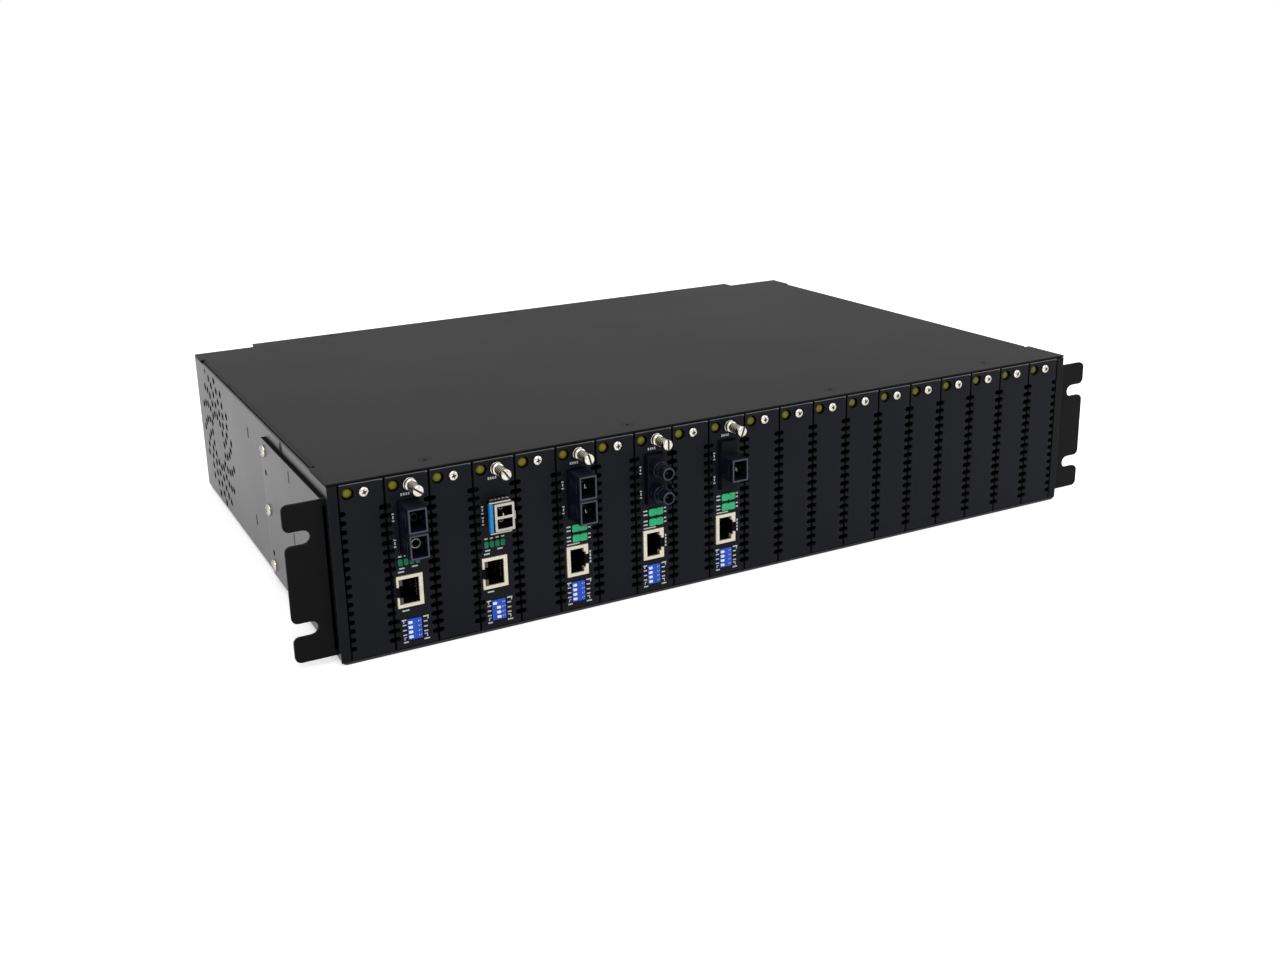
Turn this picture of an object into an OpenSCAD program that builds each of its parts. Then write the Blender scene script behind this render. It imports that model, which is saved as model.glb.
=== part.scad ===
// Two-unit rack chassis for plug-in fibre media converters.
// The origin is the centre of the body's underside: +X right, +Y to the back, +Z up.

/* [Chassis body] */
// Width of the body between its side faces
body_w = 442; // [438:1:446]
// Depth of the body from the front plane to its rear corners
body_d = 300; // [296:1:320]
// Height of the body, two rack units
body_h = 88.9; // [88.4:0.1:90.4]
// Thickness of the folded steel sheet
sheet = 1.2; // [1:0.1:1.4]
// Width of the front band beside the first and the last plate
band_w = 5; // [4:0.5:6]
// Outer radius of the two long folds under the body
fold_r = 3; // [2:0.5:4]
// How far each side of the rear step stands in from the body's side
step_inset = 39; // [38:0.5:45]
// How far the rear step stands out behind the corners
step_d = 9; // [7:0.5:12]
// Where the cover's side lips start, from the front plane
lip_start = 30; // [25:1:40]
// How far the lips' rear ends stand in from the body's rear corners
lip_inset = 21; // [18:1:50]
// Depth of the cover's side lips below the top face
lip_drop = 10; // [8:0.5:10.5]

/* [Rack ears] */
// How far an ear stands out from the body's side
ear_w = 20.3; // [19.8:0.1:20.8]
// Thickness of the ear plate
ear_t = 2; // [1.5:0.1:2.4]
// Height of an ear
ear_h = 76.9; // [74:0.1:79]
// Height of an ear's lower edge above the underside
ear_z = 4.35; // [3:0.05:6]
// Setback of the ears' front face behind the front plane
ear_set = 3.5; // [2:0.5:8]
// Length of the leg that lies along the body's side
ear_leg = 120; // [110:1:130]
// Distance of a rack screw's centre from the ear's outer edge
rack_hole_in = 8.75; // [8.3:0.05:9.4]
// Distance between the rack screws of one ear
rack_pitch = 44.45; // [44:0.05:45]
// Height of the lower rack screw above the underside
rack_z = 20.4; // [19:0.1:22]
// Width of the open slot for a rack screw
rack_slot_w = 6.8; // [6.2:0.1:7.4]
// Radius of the ears' corners
ear_r = 3; // [2:0.5:4]

/* [Front slots] */
// Number of slots across the front
slot_count = 20; // [20]
// Thickness of the slot plates
plate_t = 1.6; // [1.2:0.1:2]
// Gap between neighbouring plates
plate_gap = 0.8; // [0.3:0.1:1.2]
// Number of vent notches along one edge of a plate
vent_count = 16; // [8:1:17]
// Depth of a vent notch from the plate's edge
vent_d = 3; // [2.4:0.1:3.1]
// Height of a vent notch
vent_h = 2.2; // [1.6:0.1:2.6]
// Diameter of the light dome in each plate
led_d = 5; // [4.4:0.1:5.4]
// Distance from a plate's left seam to its light
led_x = 4.65; // [4.2:0.05:5]
// Distance from a plate's left seam to its screw
screw_x = 12; // [11.5:0.1:13]
// Diameter of the plate screws' heads
screw_head_d = 5; // [4.4:0.1:5.6]

/* [Converter modules] */
// Height of the optical axis above the underside
fibre_z = 62.3; // [62:0.1:62.5]
// Width of the square fibre ports' nose
sc_w = 9.6; // [9:0.1:10]
// Height of the double port's nose
sc_h = 25; // [24.6:0.1:25.4]
// Height of the single port's nose
sc_single_h = 12.2; // [12:0.1:13]
// How far the square ports stand out in front
sc_len = 13; // [10:0.5:15]
// Distance between the two ports of a pair
port_pitch = 12.7; // [12.4:0.1:12.7]
// Width of a square port's opening
port_w = 7.5; // [7:0.1:7.8]
// Height of a square port's opening
port_h = 10.1; // [9.4:0.1:10.3]
// Diameter of a round bayonet barrel
st_d = 6.4; // [6:0.1:7]
// How far the round barrels stand out in front
st_len = 15.5; // [13:0.5:17]
// Length of a module's circuit board
board_len = 144; // [138:1:144]
// Length of a module's thumbscrew in front of the plate
thumb_len = 13.5; // [11:0.5:16]
// Height of the copper socket's centre on modules with round-cornered lights
jack_z = 27; // [26.5:0.1:27.4]
// Height of the copper socket's centre on modules with a row of lights
jack_high_z = 30.3; // [29.8:0.1:31]
// Height of the copper sockets' shells
jack_h = 16; // [15.6:0.1:16.2]
// Travel of the switch levers
lever_travel = 2.4; // [1.5:0.1:2.6]

/* [Cooling fans] */
// Side of a fan's square frame
fan_w = 80; // [76:1:81]
// Thickness of a fan
fan_t = 25; // [20:1:28]
// Place of a side fan between the backplane and the rear corners, as a share of the room
fan_share = 0.813; // [0.78:0.001:0.83]
// Height of a fan's axis above the underside
fan_z = 44; // [43:0.5:45]
// Diameter of one hole in a side grille
grille_hole_d = 4.2; // [3:0.1:4.5]
// Radius of the outermost ring of holes in a side grille
grille_r = 39.1; // [38:0.1:39.5]
// Number of curved arms of holes in a side grille
grille_arms = 15; // [12:1:15]

/* [Power supplies] */
// Room between the backplane and the power supplies
supply_gap = 11.5; // [11:0.5:30]
// How far a supply's handle stands out behind
handle_out = 26; // [22:1:32]
// Span of a supply's handle between its posts
handle_span = 62; // [50:1:66]
// Diameter of the handle's rod
handle_d = 6; // [5:0.5:8]
// Width of the power inlet's opening
inlet_w = 24; // [23:0.5:25]
// Height of the power inlet's opening
inlet_h = 16.5; // [15.5:0.5:17]
// Distance between holes along a row of a supply's vent
vent_pitch = 6.4; // [6:0.1:8]

/* [Hidden] */
$fn = 32;

// Gap between pieces that seat beside or move past one another
fit = 0.3;
// Radial gap of a shaft that turns in its bore
run_fit = 0.05;
// Overrun of every cut
over = 1;
// Height of the top cover's under face
cover_z = body_h - sheet;
// Height of the side walls' and the plates' upper edge
wall_top = cover_z - fit;
// Front plane and inner half width of the body
front_y = -body_d / 2;
inner_x = body_w / 2 - sheet;
// Width and rear face of the step, from the front plane
step_w = body_w - 2 * step_inset;
step_y = body_d + step_d;
lip_len = body_d - lip_start - lip_inset;

// Slot grid and plates
slot_pitch = (body_w - 2 * band_w) / slot_count;
plate_w = slot_pitch - plate_gap;
plate_z = sheet + fit;
plate_h = wall_top - plate_z;
module_slots = [2, 4, 6, 8, 10];
row_light_slots = [2, 4];
blank_slots = [for (s = [1 : slot_count]) if (len(search(s, module_slots)) == 0) s];

// Card cage plate: its front flange carries the plate screws and lights
shelf_drop = 11.7;
shelf_z = cover_z - shelf_drop;
rail_y = plate_t + fit;
return_d = 14;
light_drop = 5;
light_z = cover_z - light_drop;
light_hole_clear = 0.4;
rail_light_clear = 0.2;
screw_r = 1.5;
tapped_r = 1.75;
vent_short_d = 1.5;
vent_low_margin = 5.4;
vent_top_margin = 2.5;
vent_low_z = plate_z + vent_low_margin;
vent_step = (shelf_z - vent_top_margin - vent_low_z) / (vent_count - 1);

// Slot lights on their own board, and the heads of the panel screws
led_body_len = 5.5;
led_tip = 0.8;
led_collar = 0.4;
light_board_t = 1.6;
screw_head_h = 1.5;
screw_crown_share = 0.6;

// Card guides and circuit boards
board_t = 1.6;
board_x = 2;
guide_wall = 1.1;
guide_h = 4;
guide_floor = 1.4;
guide_start = 30.5;
guide_margin = 5.6;
board_y = plate_t + fit + sheet;
board_z = sheet + guide_floor + fit;
board_top = shelf_z - guide_floor - fit;
board_face = board_x + board_t;
board_end = board_y + board_len;
guide_len = board_end - guide_margin - guide_start;
tongue_len = 7.5;
tongue_share = 0.68;

// Chips on a module's board, as places and sizes in shares of the board
chip_shares = [
    [0.34, 0.42, 0.15, 0.30], [0.58, 0.30, 0.10, 0.20], [0.60, 0.62, 0.12, 0.16],
    [0.80, 0.46, 0.09, 0.18]
];
chip_t = 2.2;
coil_t = 6;
coil_share = [0.24, 0.10, 0.10, 0.18];

// Backplane with one socket for each slot
socket_d = 8.5;
socket_w = 7.6;
socket_wall = 3;
backplane_gap = 1.5;
backplane_t = 2.4;
backplane_y = board_end + tongue_len + backplane_gap;

// Rings of holes in a side grille, in shares of the outermost ring's radius
grille_ring_shares = [0.432, 0.597, 0.746, 0.877, 1];
// Angle of the first hole of an arm, and how far each ring turns against the one within it
grille_start = 6;
grille_turn = 7.6;
vent_row = vent_pitch * sin(60);

// Rack ears
rack_w = body_w + 2 * ear_w;
rack_span = rack_w - 2 * rack_hole_in;

// Small sizes of the ears' leg and of the body's sides
ear_screw_y = 114;
ear_screw_zs_share = [0.079, 0.489, 0.914];
ear_screw_d = 6.6;
ear_screw_head = 1.6;
ear_screw_r = 2;
ear_pin_hole_r = 1.6;
ear_pin_y = 113;
ear_pin_zs_share = [0.177, 0.763];
slit_w = 1.1;
slit_h = 6;
ear_slit_y = 62;
ear_slit_zs_share = [0.496, 0.915];
side_slit_y = 158;
side_slit_zs_share = [0.244, 0.82];

// Cover screws: countersunk, black
cover_screw_d = 6;
cover_screw_r = 1.5;
cover_screw_len = 3;
cover_front_y = 11.5;
cover_rear_inset = 5;
cover_front_xs_share = [-0.385, -0.141, 0.141, 0.385];
cover_rear_xs_share = [-0.296, 0, 0.296];
cover_side_y = 82;
cover_side_drop = 3.7;
side_hole_in = 29.7;
side_hole_y = body_d - side_hole_in;
side_hole_r = 1.8;
relief_w = 2;
relief_d = 3.2;
rear_rail_h = 5.4;

// Pieces of a converter module, from the slot's left seam
sc_x = slot_pitch / 2;
fibre_body_d = 26;
port_depth = 12;
sleeve_d = 4.6;
sleeve_bore_d = 2.6;
sleeve_len = 6;
st_flange_w = 9.8;
st_flange_h = 26;
st_flange_d = 3;
st_ring_d = 8.8;
st_ring_len = 3;
st_bore_d = 4.6;
st_bore_len = 9;
st_ferrule_d = 2.5;
st_ferrule_len = 7;
st_lug_d = 1.3;
st_lug_out = 0.7;
st_lug_back = 4.5;

jack_out = 0.6;
jack_depth = 14.5;
jack_plug_depth = 12.5;
jack_flange_y = board_y - fit;
jack_x = 3.9;
jack_w = 11.8;
jack_high_x = 2.3;
jack_high_w = 13;
jack_band = 2;
jack_plug_w = 7.3;
jack_plug_h = 12.6;
jack_key_w = 0.9;
jack_key_h_share = 0.64;
jack_clip_h_share = 0.4;

row_lights = 4;
row_light_w = 2.1;
row_light_h = 3.4;
row_light_pitch = 2.9;
row_light_x = 5;
row_light_z = 45;
block_light_w = 8.2;
block_light_h = 4;
block_light_x = 7.4;
block_light_zs = [36.9, 42.3];
light_out = 0.4;
light_clear = 0.2;
light_base_d = 5;

dip_x = 6.3;
dip_w = 7.1;
dip_z = 5.4;
dip_h = 10.4;
dip_out = 0.3;
dip_d = 4.6;
lever_count = 4;
lever_w = 1.8;
lever_h = 1;
lever_out = 0.6;
lever_slot_h = 1.5;
lever_slot_d = 1.4;
lever_margin = 0.4;
lever_pitch = 2.45;
lever_staggered_share = [0.8, 0.8, 0.8, 0];

thumb_collar_d = 6.4;
thumb_collar_len = 2.4;
thumb_barrel_d = 5;
thumb_head_d = 5.6;
thumb_head_len = 3;
thumb_groove_w = 0.9;
thumb_shank_len = 6.5;

cage_w = 9.9;
cage_h = 14.7;
cage_wall = 0.4;
cage_x = 12;
cage_z = 60.55;
cage_out = 2.5;
cage_len = 47;
nose_w = 10.2;
nose_h = 13.9;
nose_out = 8.5;
lc_w = 7.6;
lc_h = 4.8;
lc_pitch = 6.25;
lc_depth = 7.5;
lc_sleeve_d = 2;
lc_sleeve_len = 2.4;
bail_pivot_x = 2;
bail_pivot_y = 6.9;
bail_pin_r = 0.6;
bail_pin_len = 0.8;
bail_leg_t = 0.8;
bail_leg_w = 1.6;
bail_reach = 8.75;
bail_bar_w = 1.8;
bail_bar_d = 2.4;

// Fans
fan_front = backplane_y + backplane_t;
fan_y = fan_front + fan_w / 2 + (body_d - fan_front - fan_w) * fan_share;
fan_bore_share = 0.475;
fan_hub_r_share = 0.2;
fan_blade_r_share = 0.46;
fan_blade_count = 7;
fan_blade_t = 1.6;
fan_blade_pitch = 35;
fan_shaft_r = 1.5;
fan_strut_t = 3;
fan_strut_w = 4;
fan_hub_gap = 1.5;
fan_corner_share = 0.447;
fan_hole_r = 2.15;
rotor_margin = 2;

// Power supplies
bay_rail_z = wall_top - rear_rail_h;
divider_start = 175;
supply_x0 = sheet / 2 + fit;
supply_w = step_w / 2 - sheet - fit - supply_x0;
supply_z = sheet + fit;
supply_h = bay_rail_z - fit - supply_z;
supply_start = backplane_y + backplane_t + supply_gap;
supply_len = step_y - supply_start;
supply_board_up = 5;
// Parts on a supply's inner board, as places and sizes in shares of the board
supply_part_shares = [
    [0.10, 0.15, 0.22, 0.30, 0.55], [0.42, 0.20, 0.20, 0.34, 0.42], [0.70, 0.12, 0.06, 0.70, 0.60],
    [0.82, 0.30, 0.10, 0.16, 0.38]
];
power_tongue_w = 36;
power_tongue_len = 8;
power_socket_h = 8;
power_socket_margin = 4;
inlet_share = 0.18;
handle_share = 0.5;
vent_share = 0.82;
supply_vent_r = 22;
flange_w = 32;
flange_h = 62;
flange_t = 2;
flange_r = 3;
inlet_body_w = 28;
inlet_body_h = 56;
inlet_body_d = 20;
inlet_depth = 17;
inlet_pin_len = 11;
inlet_pin_w = 2;
inlet_pin_h = 4;
inlet_pin_gap = 7;
inlet_drop = 12;
rocker_up = 15;
rocker_w = 19;
rocker_h = 11;
rocker_edge = 2.6;
rocker_ridge = 3.9;
rocker_back = 2.4;
rocker_tilt = 9;
rocker_pivot_in = 3;
rocker_gap = 0.8;
rocker_well_d = 9;
rocker_pin_r = 1.2;
rocker_pin_len = 1;

// Colours
steel_black = [0.18, 0.18, 0.19];
ear_black = [0.09, 0.09, 0.10];
plate_black = [0.13, 0.13, 0.16];
nickel = [0.78, 0.77, 0.72];
screw_black = [0.06, 0.06, 0.06];
amber = [0.66, 0.62, 0.16];
board_green = [0.10, 0.36, 0.20];
guide_grey = [0.30, 0.31, 0.33];
socket_ivory = [0.80, 0.78, 0.70];
fan_black = [0.10, 0.10, 0.11];
port_navy = [0.12, 0.14, 0.20];
shield_cream = [0.80, 0.78, 0.70];
switch_blue = [0.16, 0.30, 0.80];
lever_white = [0.93, 0.94, 0.95];
bail_blue = [0.25, 0.60, 0.80];
supply_steel = [0.62, 0.63, 0.64];
inlet_black = [0.08, 0.08, 0.08];

// Helpers

// Distance of a slot's left seam from the middle of the body
function slot_x(s) = -body_w / 2 + band_w + (s - 1) * slot_pitch;

// Moves what follows to the front plane
module from_front() {
    translate([0, front_y, 0]) children();
}

// Moves what follows to a slot's left seam on the front plane
module at_slot(s) {
    translate([slot_x(s), front_y, 0]) children();
}

// Extrudes an outline drawn in X and Z from y to y + t
module upright(y, t) {
    translate([0, y + t, 0]) rotate([90, 0, 0]) linear_extrude(t) children();
}

// Extrudes an outline drawn in Y and Z from x to x + t
module sideways(x, t) {
    translate([x, 0, 0]) rotate([90, 0, 90]) linear_extrude(t) children();
}

// Box given by its low corner and its size
module box(x, y, z, w, d, h) {
    translate([x, y, z]) cube([w, d, h]);
}

// Round bar along Y
module bar_y(x, y, z, r, len) {
    translate([x, y, z]) rotate([-90, 0, 0]) cylinder(h = len, r = r);
}

// Round bar along X
module bar_x(x, y, z, r, len) {
    translate([x, y, z]) rotate([0, 90, 0]) cylinder(h = len, r = r);
}

// Rectangle with round corners, from its low corner
module round_rect(w, h, r) {
    translate([r, 0]) square([w - 2 * r, h]);
    translate([0, r]) square([w, h - 2 * r]);
    for (x = [r, w - r], y = [r, h - r]) translate([x, y]) circle(r);
}

// The same on both sides of the body
module both_sides() {
    children();
    mirror([1, 0, 0]) children();
}

// Chassis body

// Cross-section of the tray: a floor with two round folds and two sides
module tray_section(half_w, low, r) {
    translate([-half_w + r, low]) square([2 * (half_w - r), wall_top - low + (low > 0 ? over : 0)]);
    translate([-half_w, low + r]) square([2 * half_w, wall_top - low - r + (low > 0 ? over : 0)]);
    for (x = [-half_w + r, half_w - r]) translate([x, low + r]) circle(r);
}

// Holes of a side grille: curved arms of holes round a plain middle
module grille_holes(len) {
    for (arm = [0 : grille_arms - 1], ring = [0 : len(grille_ring_shares) - 1])
        rotate([grille_start + 360 * arm / grille_arms - grille_turn * ring, 0, 0])
            translate([0, grille_r * grille_ring_shares[ring], 0]) rotate([0, 90, 0])
                cylinder(h = len, r = grille_hole_d / 2, $fn = 16);
}

// Staggered rows of vent holes inside a circle
module vent_holes(r_out, hole_r, len) {
    rows = ceil(r_out / vent_row);
    columns = ceil(r_out / vent_pitch);
    for (j = [-rows : rows], i = [-columns : columns]) {
        u = (i + (j % 2 == 0 ? 0 : 0.5)) * vent_pitch;
        v = j * vent_row;
        if (norm([u, v]) <= r_out - hole_r)
            translate([0, u, v]) rotate([0, 90, 0]) cylinder(h = len, r = hole_r, $fn = 16);
    }
}

// What is cut through the left side wall
module side_cuts() {
    x = -body_w / 2 - over;
    len = sheet + 2 * over;
    translate([x, fan_y, fan_z]) grille_holes(len);
    for (share = ear_screw_zs_share)
        bar_x(x, ear_screw_y, ear_z + ear_h * share, ear_screw_r + fit / 2, len);
    for (share = side_slit_zs_share)
        box(x, side_slit_y, body_h * share - slit_h / 2, len, slit_w, slit_h);
    bar_x(x, cover_side_y, cover_z - cover_side_drop, cover_screw_d / 2 + fit, len);
    bar_x(x, side_hole_y, cover_z - cover_side_drop, side_hole_r, len);
}

module chassis_tray() {
    color(steel_black) from_front() difference() {
        union() {
            difference() {
                upright(0, body_d) tray_section(body_w / 2, 0, fold_r);
                upright(sheet, body_d - 2 * sheet)
                    tray_section(inner_x, sheet, fold_r - sheet);
                upright(-over, sheet + 2 * over)
                    translate([-body_w / 2 + band_w - plate_gap / 2, sheet])
                        square([body_w - 2 * band_w + plate_gap, wall_top]);
                upright(body_d - sheet - over, sheet + 2 * over)
                    translate([-step_w / 2, sheet]) square([step_w, wall_top]);
            }
            box(-step_w / 2, body_d - sheet, 0, step_w, step_d + sheet, sheet);
            both_sides() box(-step_w / 2, body_d - sheet, 0, sheet, step_d + sheet, wall_top);
            box(-step_w / 2, step_y - sheet, bay_rail_z, step_w, sheet, rear_rail_h);
            box(-step_w / 2, step_y - return_d, wall_top - sheet, step_w, return_d, sheet);
            box(-sheet / 2, divider_start, 0, sheet, step_y - divider_start, bay_rail_z + sheet);
        }
        both_sides() side_cuts();
        for (share = cover_rear_xs_share)
            translate([body_w * share, step_y - cover_rear_inset, wall_top - sheet - over])
                cylinder(h = sheet + 2 * over, r = cover_screw_r + fit / 2);
    }
}

// Outline of the cover seen from above, without its side lips
module cover_plan() {
    lip_x = inner_x - fit - sheet;
    translate([-lip_x, 0]) square([2 * lip_x, body_d]);
    translate([-body_w / 2, 0]) square([body_w, lip_start - relief_w]);
    translate([-body_w / 2, lip_start + lip_len + relief_w])
        square([body_w, body_d - lip_start - lip_len - relief_w]);
    translate([-step_w / 2, body_d - over]) square([step_w, step_d + over]);
}

// One side lip with its round shoulder
module cover_lip() {
    x = -inner_x + fit;
    difference() {
        union() {
            box(x, lip_start, body_h - lip_drop, sheet, lip_len, lip_drop - sheet);
            bar_y(x + sheet, lip_start, cover_z, sheet, lip_len);
        }
        box(x + sheet, lip_start - over, cover_z - 2 * sheet, 2 * sheet, lip_len + 2 * over,
            2 * sheet);
        box(x - over, fan_y - fan_w / 2 - over, cover_z - lip_drop, sheet + 2 * over,
            lip_start + lip_len - fan_y + fan_w / 2 + 2 * over, fan_z + fan_w / 2 + fit
            - cover_z + lip_drop);
        bar_x(x - over, cover_side_y, cover_z - cover_side_drop, cover_screw_r + fit / 2,
            sheet + 2 * over);
    }
}

module top_cover() {
    color(steel_black) from_front() difference() {
        union() {
            translate([0, 0, cover_z]) linear_extrude(sheet) difference() {
                cover_plan();
                for (y = [lip_start - relief_w, lip_start + lip_len], m = [0, 1])
                    mirror([m, 0]) translate([-body_w / 2 - over, y])
                        square([relief_d + over, relief_w]);
            }
            both_sides() cover_lip();
        }
        for (share = cover_front_xs_share)
            translate([body_w * share, cover_front_y, 0]) countersink();
        for (share = cover_rear_xs_share)
            translate([body_w * share, step_y - cover_rear_inset, 0]) countersink();
    }
}

// Countersunk hole through the cover
module countersink() {
    translate([0, 0, cover_z]) cylinder(h = sheet, r1 = cover_screw_r, r2 = cover_screw_d / 2);
    translate([0, 0, cover_z - over])
        cylinder(h = sheet + 2 * over, r = cover_screw_r + fit / 2);
}

// Countersunk screw with its head at the origin, pointing down
module flat_screw(head_h) {
    translate([0, 0, -head_h]) cylinder(h = head_h, r1 = cover_screw_r, r2 = cover_screw_d / 2);
    translate([0, 0, -cover_screw_len]) cylinder(h = cover_screw_len, r = cover_screw_r);
}

module cover_screws() {
    color(screw_black) from_front() {
        for (share = cover_front_xs_share)
            translate([body_w * share, cover_front_y, body_h]) flat_screw(sheet);
        for (share = cover_rear_xs_share)
            translate([body_w * share, step_y - cover_rear_inset, body_h]) flat_screw(sheet);
        both_sides() translate([-body_w / 2, cover_side_y, cover_z - cover_side_drop])
            rotate([0, -90, 0]) flat_screw(sheet);
    }
}

// Rack ears

// Outline of the left ear's face in X and Z: round corners and two open slots
module ear_face() {
    out_x = -rack_w / 2;
    slot_r = rack_slot_w / 2;
    difference() {
        union() {
            translate([out_x, ear_z]) round_rect(rack_w / 2 - body_w / 2, ear_h, ear_r);
            translate([out_x + ear_r, ear_z])
                square([rack_w / 2 - body_w / 2 - ear_r, ear_h]);
        }
        for (z = [rack_z, rack_z + rack_pitch]) {
            translate([-rack_span / 2, z]) circle(slot_r);
            translate([out_x - over, z - slot_r])
                square([-rack_span / 2 - out_x + over, rack_slot_w]);
            for (side = [-1, 1]) difference() {
                translate([out_x - over, z + side * (slot_r + ear_r / 2) - ear_r / 2 - fit])
                    square([over + ear_r, ear_r + 2 * fit]);
                translate([out_x + ear_r, z + side * (slot_r + ear_r)]) circle(ear_r);
                translate([out_x - 2 * over, z + side * (slot_r + 2 * ear_r) - ear_r])
                    square([2 * (over + ear_r), 2 * ear_r]);
            }
        }
    }
}

// Left ear: the slotted face and the leg along the body's side
module ear() {
    x = -body_w / 2 - ear_t;
    difference() {
        union() {
            upright(ear_set, ear_t) ear_face();
            sideways(x, ear_t) difference() {
                translate([ear_set, ear_z]) square([ear_leg - ear_set - ear_r, ear_h]);
                for (share = ear_slit_zs_share)
                    translate([ear_slit_y, ear_z + ear_h * share - slit_h / 2])
                        square([slit_w, slit_h]);
            }
            sideways(x, ear_t) translate([ear_leg - 3 * ear_r, ear_z])
                round_rect(3 * ear_r, ear_h, ear_r);
        }
        for (share = ear_screw_zs_share)
            bar_x(x - over, ear_screw_y, ear_z + ear_h * share, ear_screw_r + fit / 2,
                ear_t + 2 * over);
        for (share = ear_pin_zs_share)
            bar_x(x - over, ear_pin_y, ear_z + ear_h * share, ear_pin_hole_r, ear_t + 2 * over);
    }
}

module left_rack_ear() {
    color(ear_black) from_front() ear();
}

module right_rack_ear() {
    color(ear_black) from_front() mirror([1, 0, 0]) ear();
}

module ear_screws() {
    x = -body_w / 2 - ear_t;
    color(nickel) from_front() both_sides() for (share = ear_screw_zs_share) {
        bar_x(x - ear_screw_head, ear_screw_y, ear_z + ear_h * share, ear_screw_d / 2,
            ear_screw_head);
        bar_x(x - ear_screw_head, ear_screw_y, ear_z + ear_h * share, ear_screw_r,
            ear_screw_head + ear_t + sheet);
    }
}

// Card cage

module card_cage_plate() {
    half = inner_x;
    color(steel_black) from_front() difference() {
        union() {
            box(-half, rail_y, shelf_z, 2 * half, sheet, wall_top - shelf_z);
            box(-half, rail_y, shelf_z, 2 * half, backplane_y - rail_y, sheet);
            box(-half, rail_y, wall_top - sheet, 2 * half, return_d, sheet);
        }
        for (s = [1 : slot_count]) {
            bar_y(slot_x(s) + screw_x, 0, light_z, tapped_r, rail_y + sheet + over);
            bar_y(slot_x(s) + led_x, 0, light_z, led_d / 2 + rail_light_clear,
                rail_y + sheet + over);
        }
        for (share = cover_front_xs_share)
            translate([body_w * share, cover_front_y, wall_top - sheet - over])
                cylinder(h = sheet + 2 * over, r = cover_screw_r + fit / 2);
    }
}

module slot_lights() {
    color(amber) from_front() for (s = [1 : slot_count])
        translate([slot_x(s) + led_x, led_tip + led_d / 2, light_z]) {
            sphere(led_d / 2);
            rotate([-90, 0, 0]) cylinder(h = led_body_len, r = led_d / 2);
            translate([0, led_body_len - over, 0]) rotate([-90, 0, 0])
                cylinder(h = over, r = led_d / 2 + led_collar);
        }
}

// Strip board that carries the slot lights
module slot_light_board() {
    y = led_tip + led_d / 2 + led_body_len;
    low = shelf_z + sheet;
    box(-inner_x + 2 * band_w, y, low, 2 * (inner_x - 2 * band_w), light_board_t,
        wall_top - sheet - 2 * fit - low);
}

// One lower guide: a channel that holds the board's edge
module guide() {
    w = board_t + 2 * (fit + guide_wall);
    difference() {
        box(board_x - fit - guide_wall, guide_start, 0, w, guide_len, guide_h);
        box(board_x - fit, guide_start - over, guide_floor, board_t + 2 * fit,
            guide_len + 2 * over, guide_h);
    }
}

module card_guides() {
    color(guide_grey) for (s = [1 : slot_count]) at_slot(s) {
        translate([0, 0, sheet]) guide();
        translate([0, 0, shelf_z]) mirror([0, 0, 1]) guide();
    }
}

// Board across the body that the modules and the power supplies plug into
module backplane_board() {
    half = inner_x - fit;
    box(-half, backplane_y, sheet, 2 * half, backplane_t, shelf_z - sheet);
}

module inner_boards() {
    color(board_green) from_front() {
        backplane_board();
        slot_light_board();
    }
}

// Tongue of a module's board, in share of the board's height
function tongue_h() = (board_top - board_z) * tongue_share;
function tongue_z() = (board_top + board_z - tongue_h()) / 2;

module backplane_sockets() {
    middle = board_x + board_t / 2;
    color(socket_ivory) {
        for (s = [1 : slot_count]) at_slot(s) difference() {
            box(middle - socket_w / 2, backplane_y - socket_d, tongue_z() - socket_wall, socket_w,
                socket_d, tongue_h() + 2 * socket_wall);
            box(board_x - fit, backplane_y - socket_d - over, tongue_z() - fit,
                board_t + 2 * fit, socket_d, tongue_h() + 2 * fit);
        }
        for (side = [0, 1]) mirror([side, 0, 0]) from_front() power_socket();
    }
}

// Socket on the backplane's rear for a supply's tongue
module power_socket() {
    mid = -supply_x0 - supply_w / 2;
    w = power_tongue_w + 2 * power_socket_margin;
    y = backplane_y + backplane_t;
    z = supply_z + sheet + supply_board_up;
    difference() {
        box(mid - w / 2, y, z - (power_socket_h - board_t) / 2, w, supply_start - fit - y,
            power_socket_h);
        box(mid - power_tongue_w / 2 - fit, y + over, z - fit, power_tongue_w + 2 * fit,
            supply_start - y, board_t + 2 * fit);
    }
}

// Slot plates

// Depth of a notch: shorter on the left edge beside a wide copper socket
function notch_d(z, left, wide) =
    left && wide && abs(z - jack_high_z) < jack_h / 2 + vent_h ? vent_short_d : vent_d;

// Outline of a slot plate in X and Z with vent notches along both edges
module plate_outline(wide) {
    difference() {
        translate([plate_gap / 2, plate_z]) square([plate_w, plate_h]);
        for (i = [0 : vent_count - 1], m = [0, 1]) {
            z = vent_low_z + i * vent_step;
            d = notch_d(z, m == 0, wide);
            translate([m * slot_pitch, z]) mirror([m, 0]) {
                translate([-over, -vent_h / 2]) square([d - vent_h / 2 + over, vent_h]);
                translate([d - vent_h / 2, 0]) circle(vent_h / 2, $fn = 16);
            }
        }
    }
}

// Slot plate with its holes for the light and the screw
module slot_plate(hole_r, wide) {
    difference() {
        upright(0, plate_t) plate_outline(wide);
        bar_y(led_x, -over, light_z, led_d / 2 + light_hole_clear, plate_t + 2 * over);
        bar_y(screw_x, -over, light_z, hole_r, plate_t + 2 * over);
    }
}

module blank_panels() {
    color(plate_black) for (s = blank_slots) at_slot(s) slot_plate(tapped_r, false);
}

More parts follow.
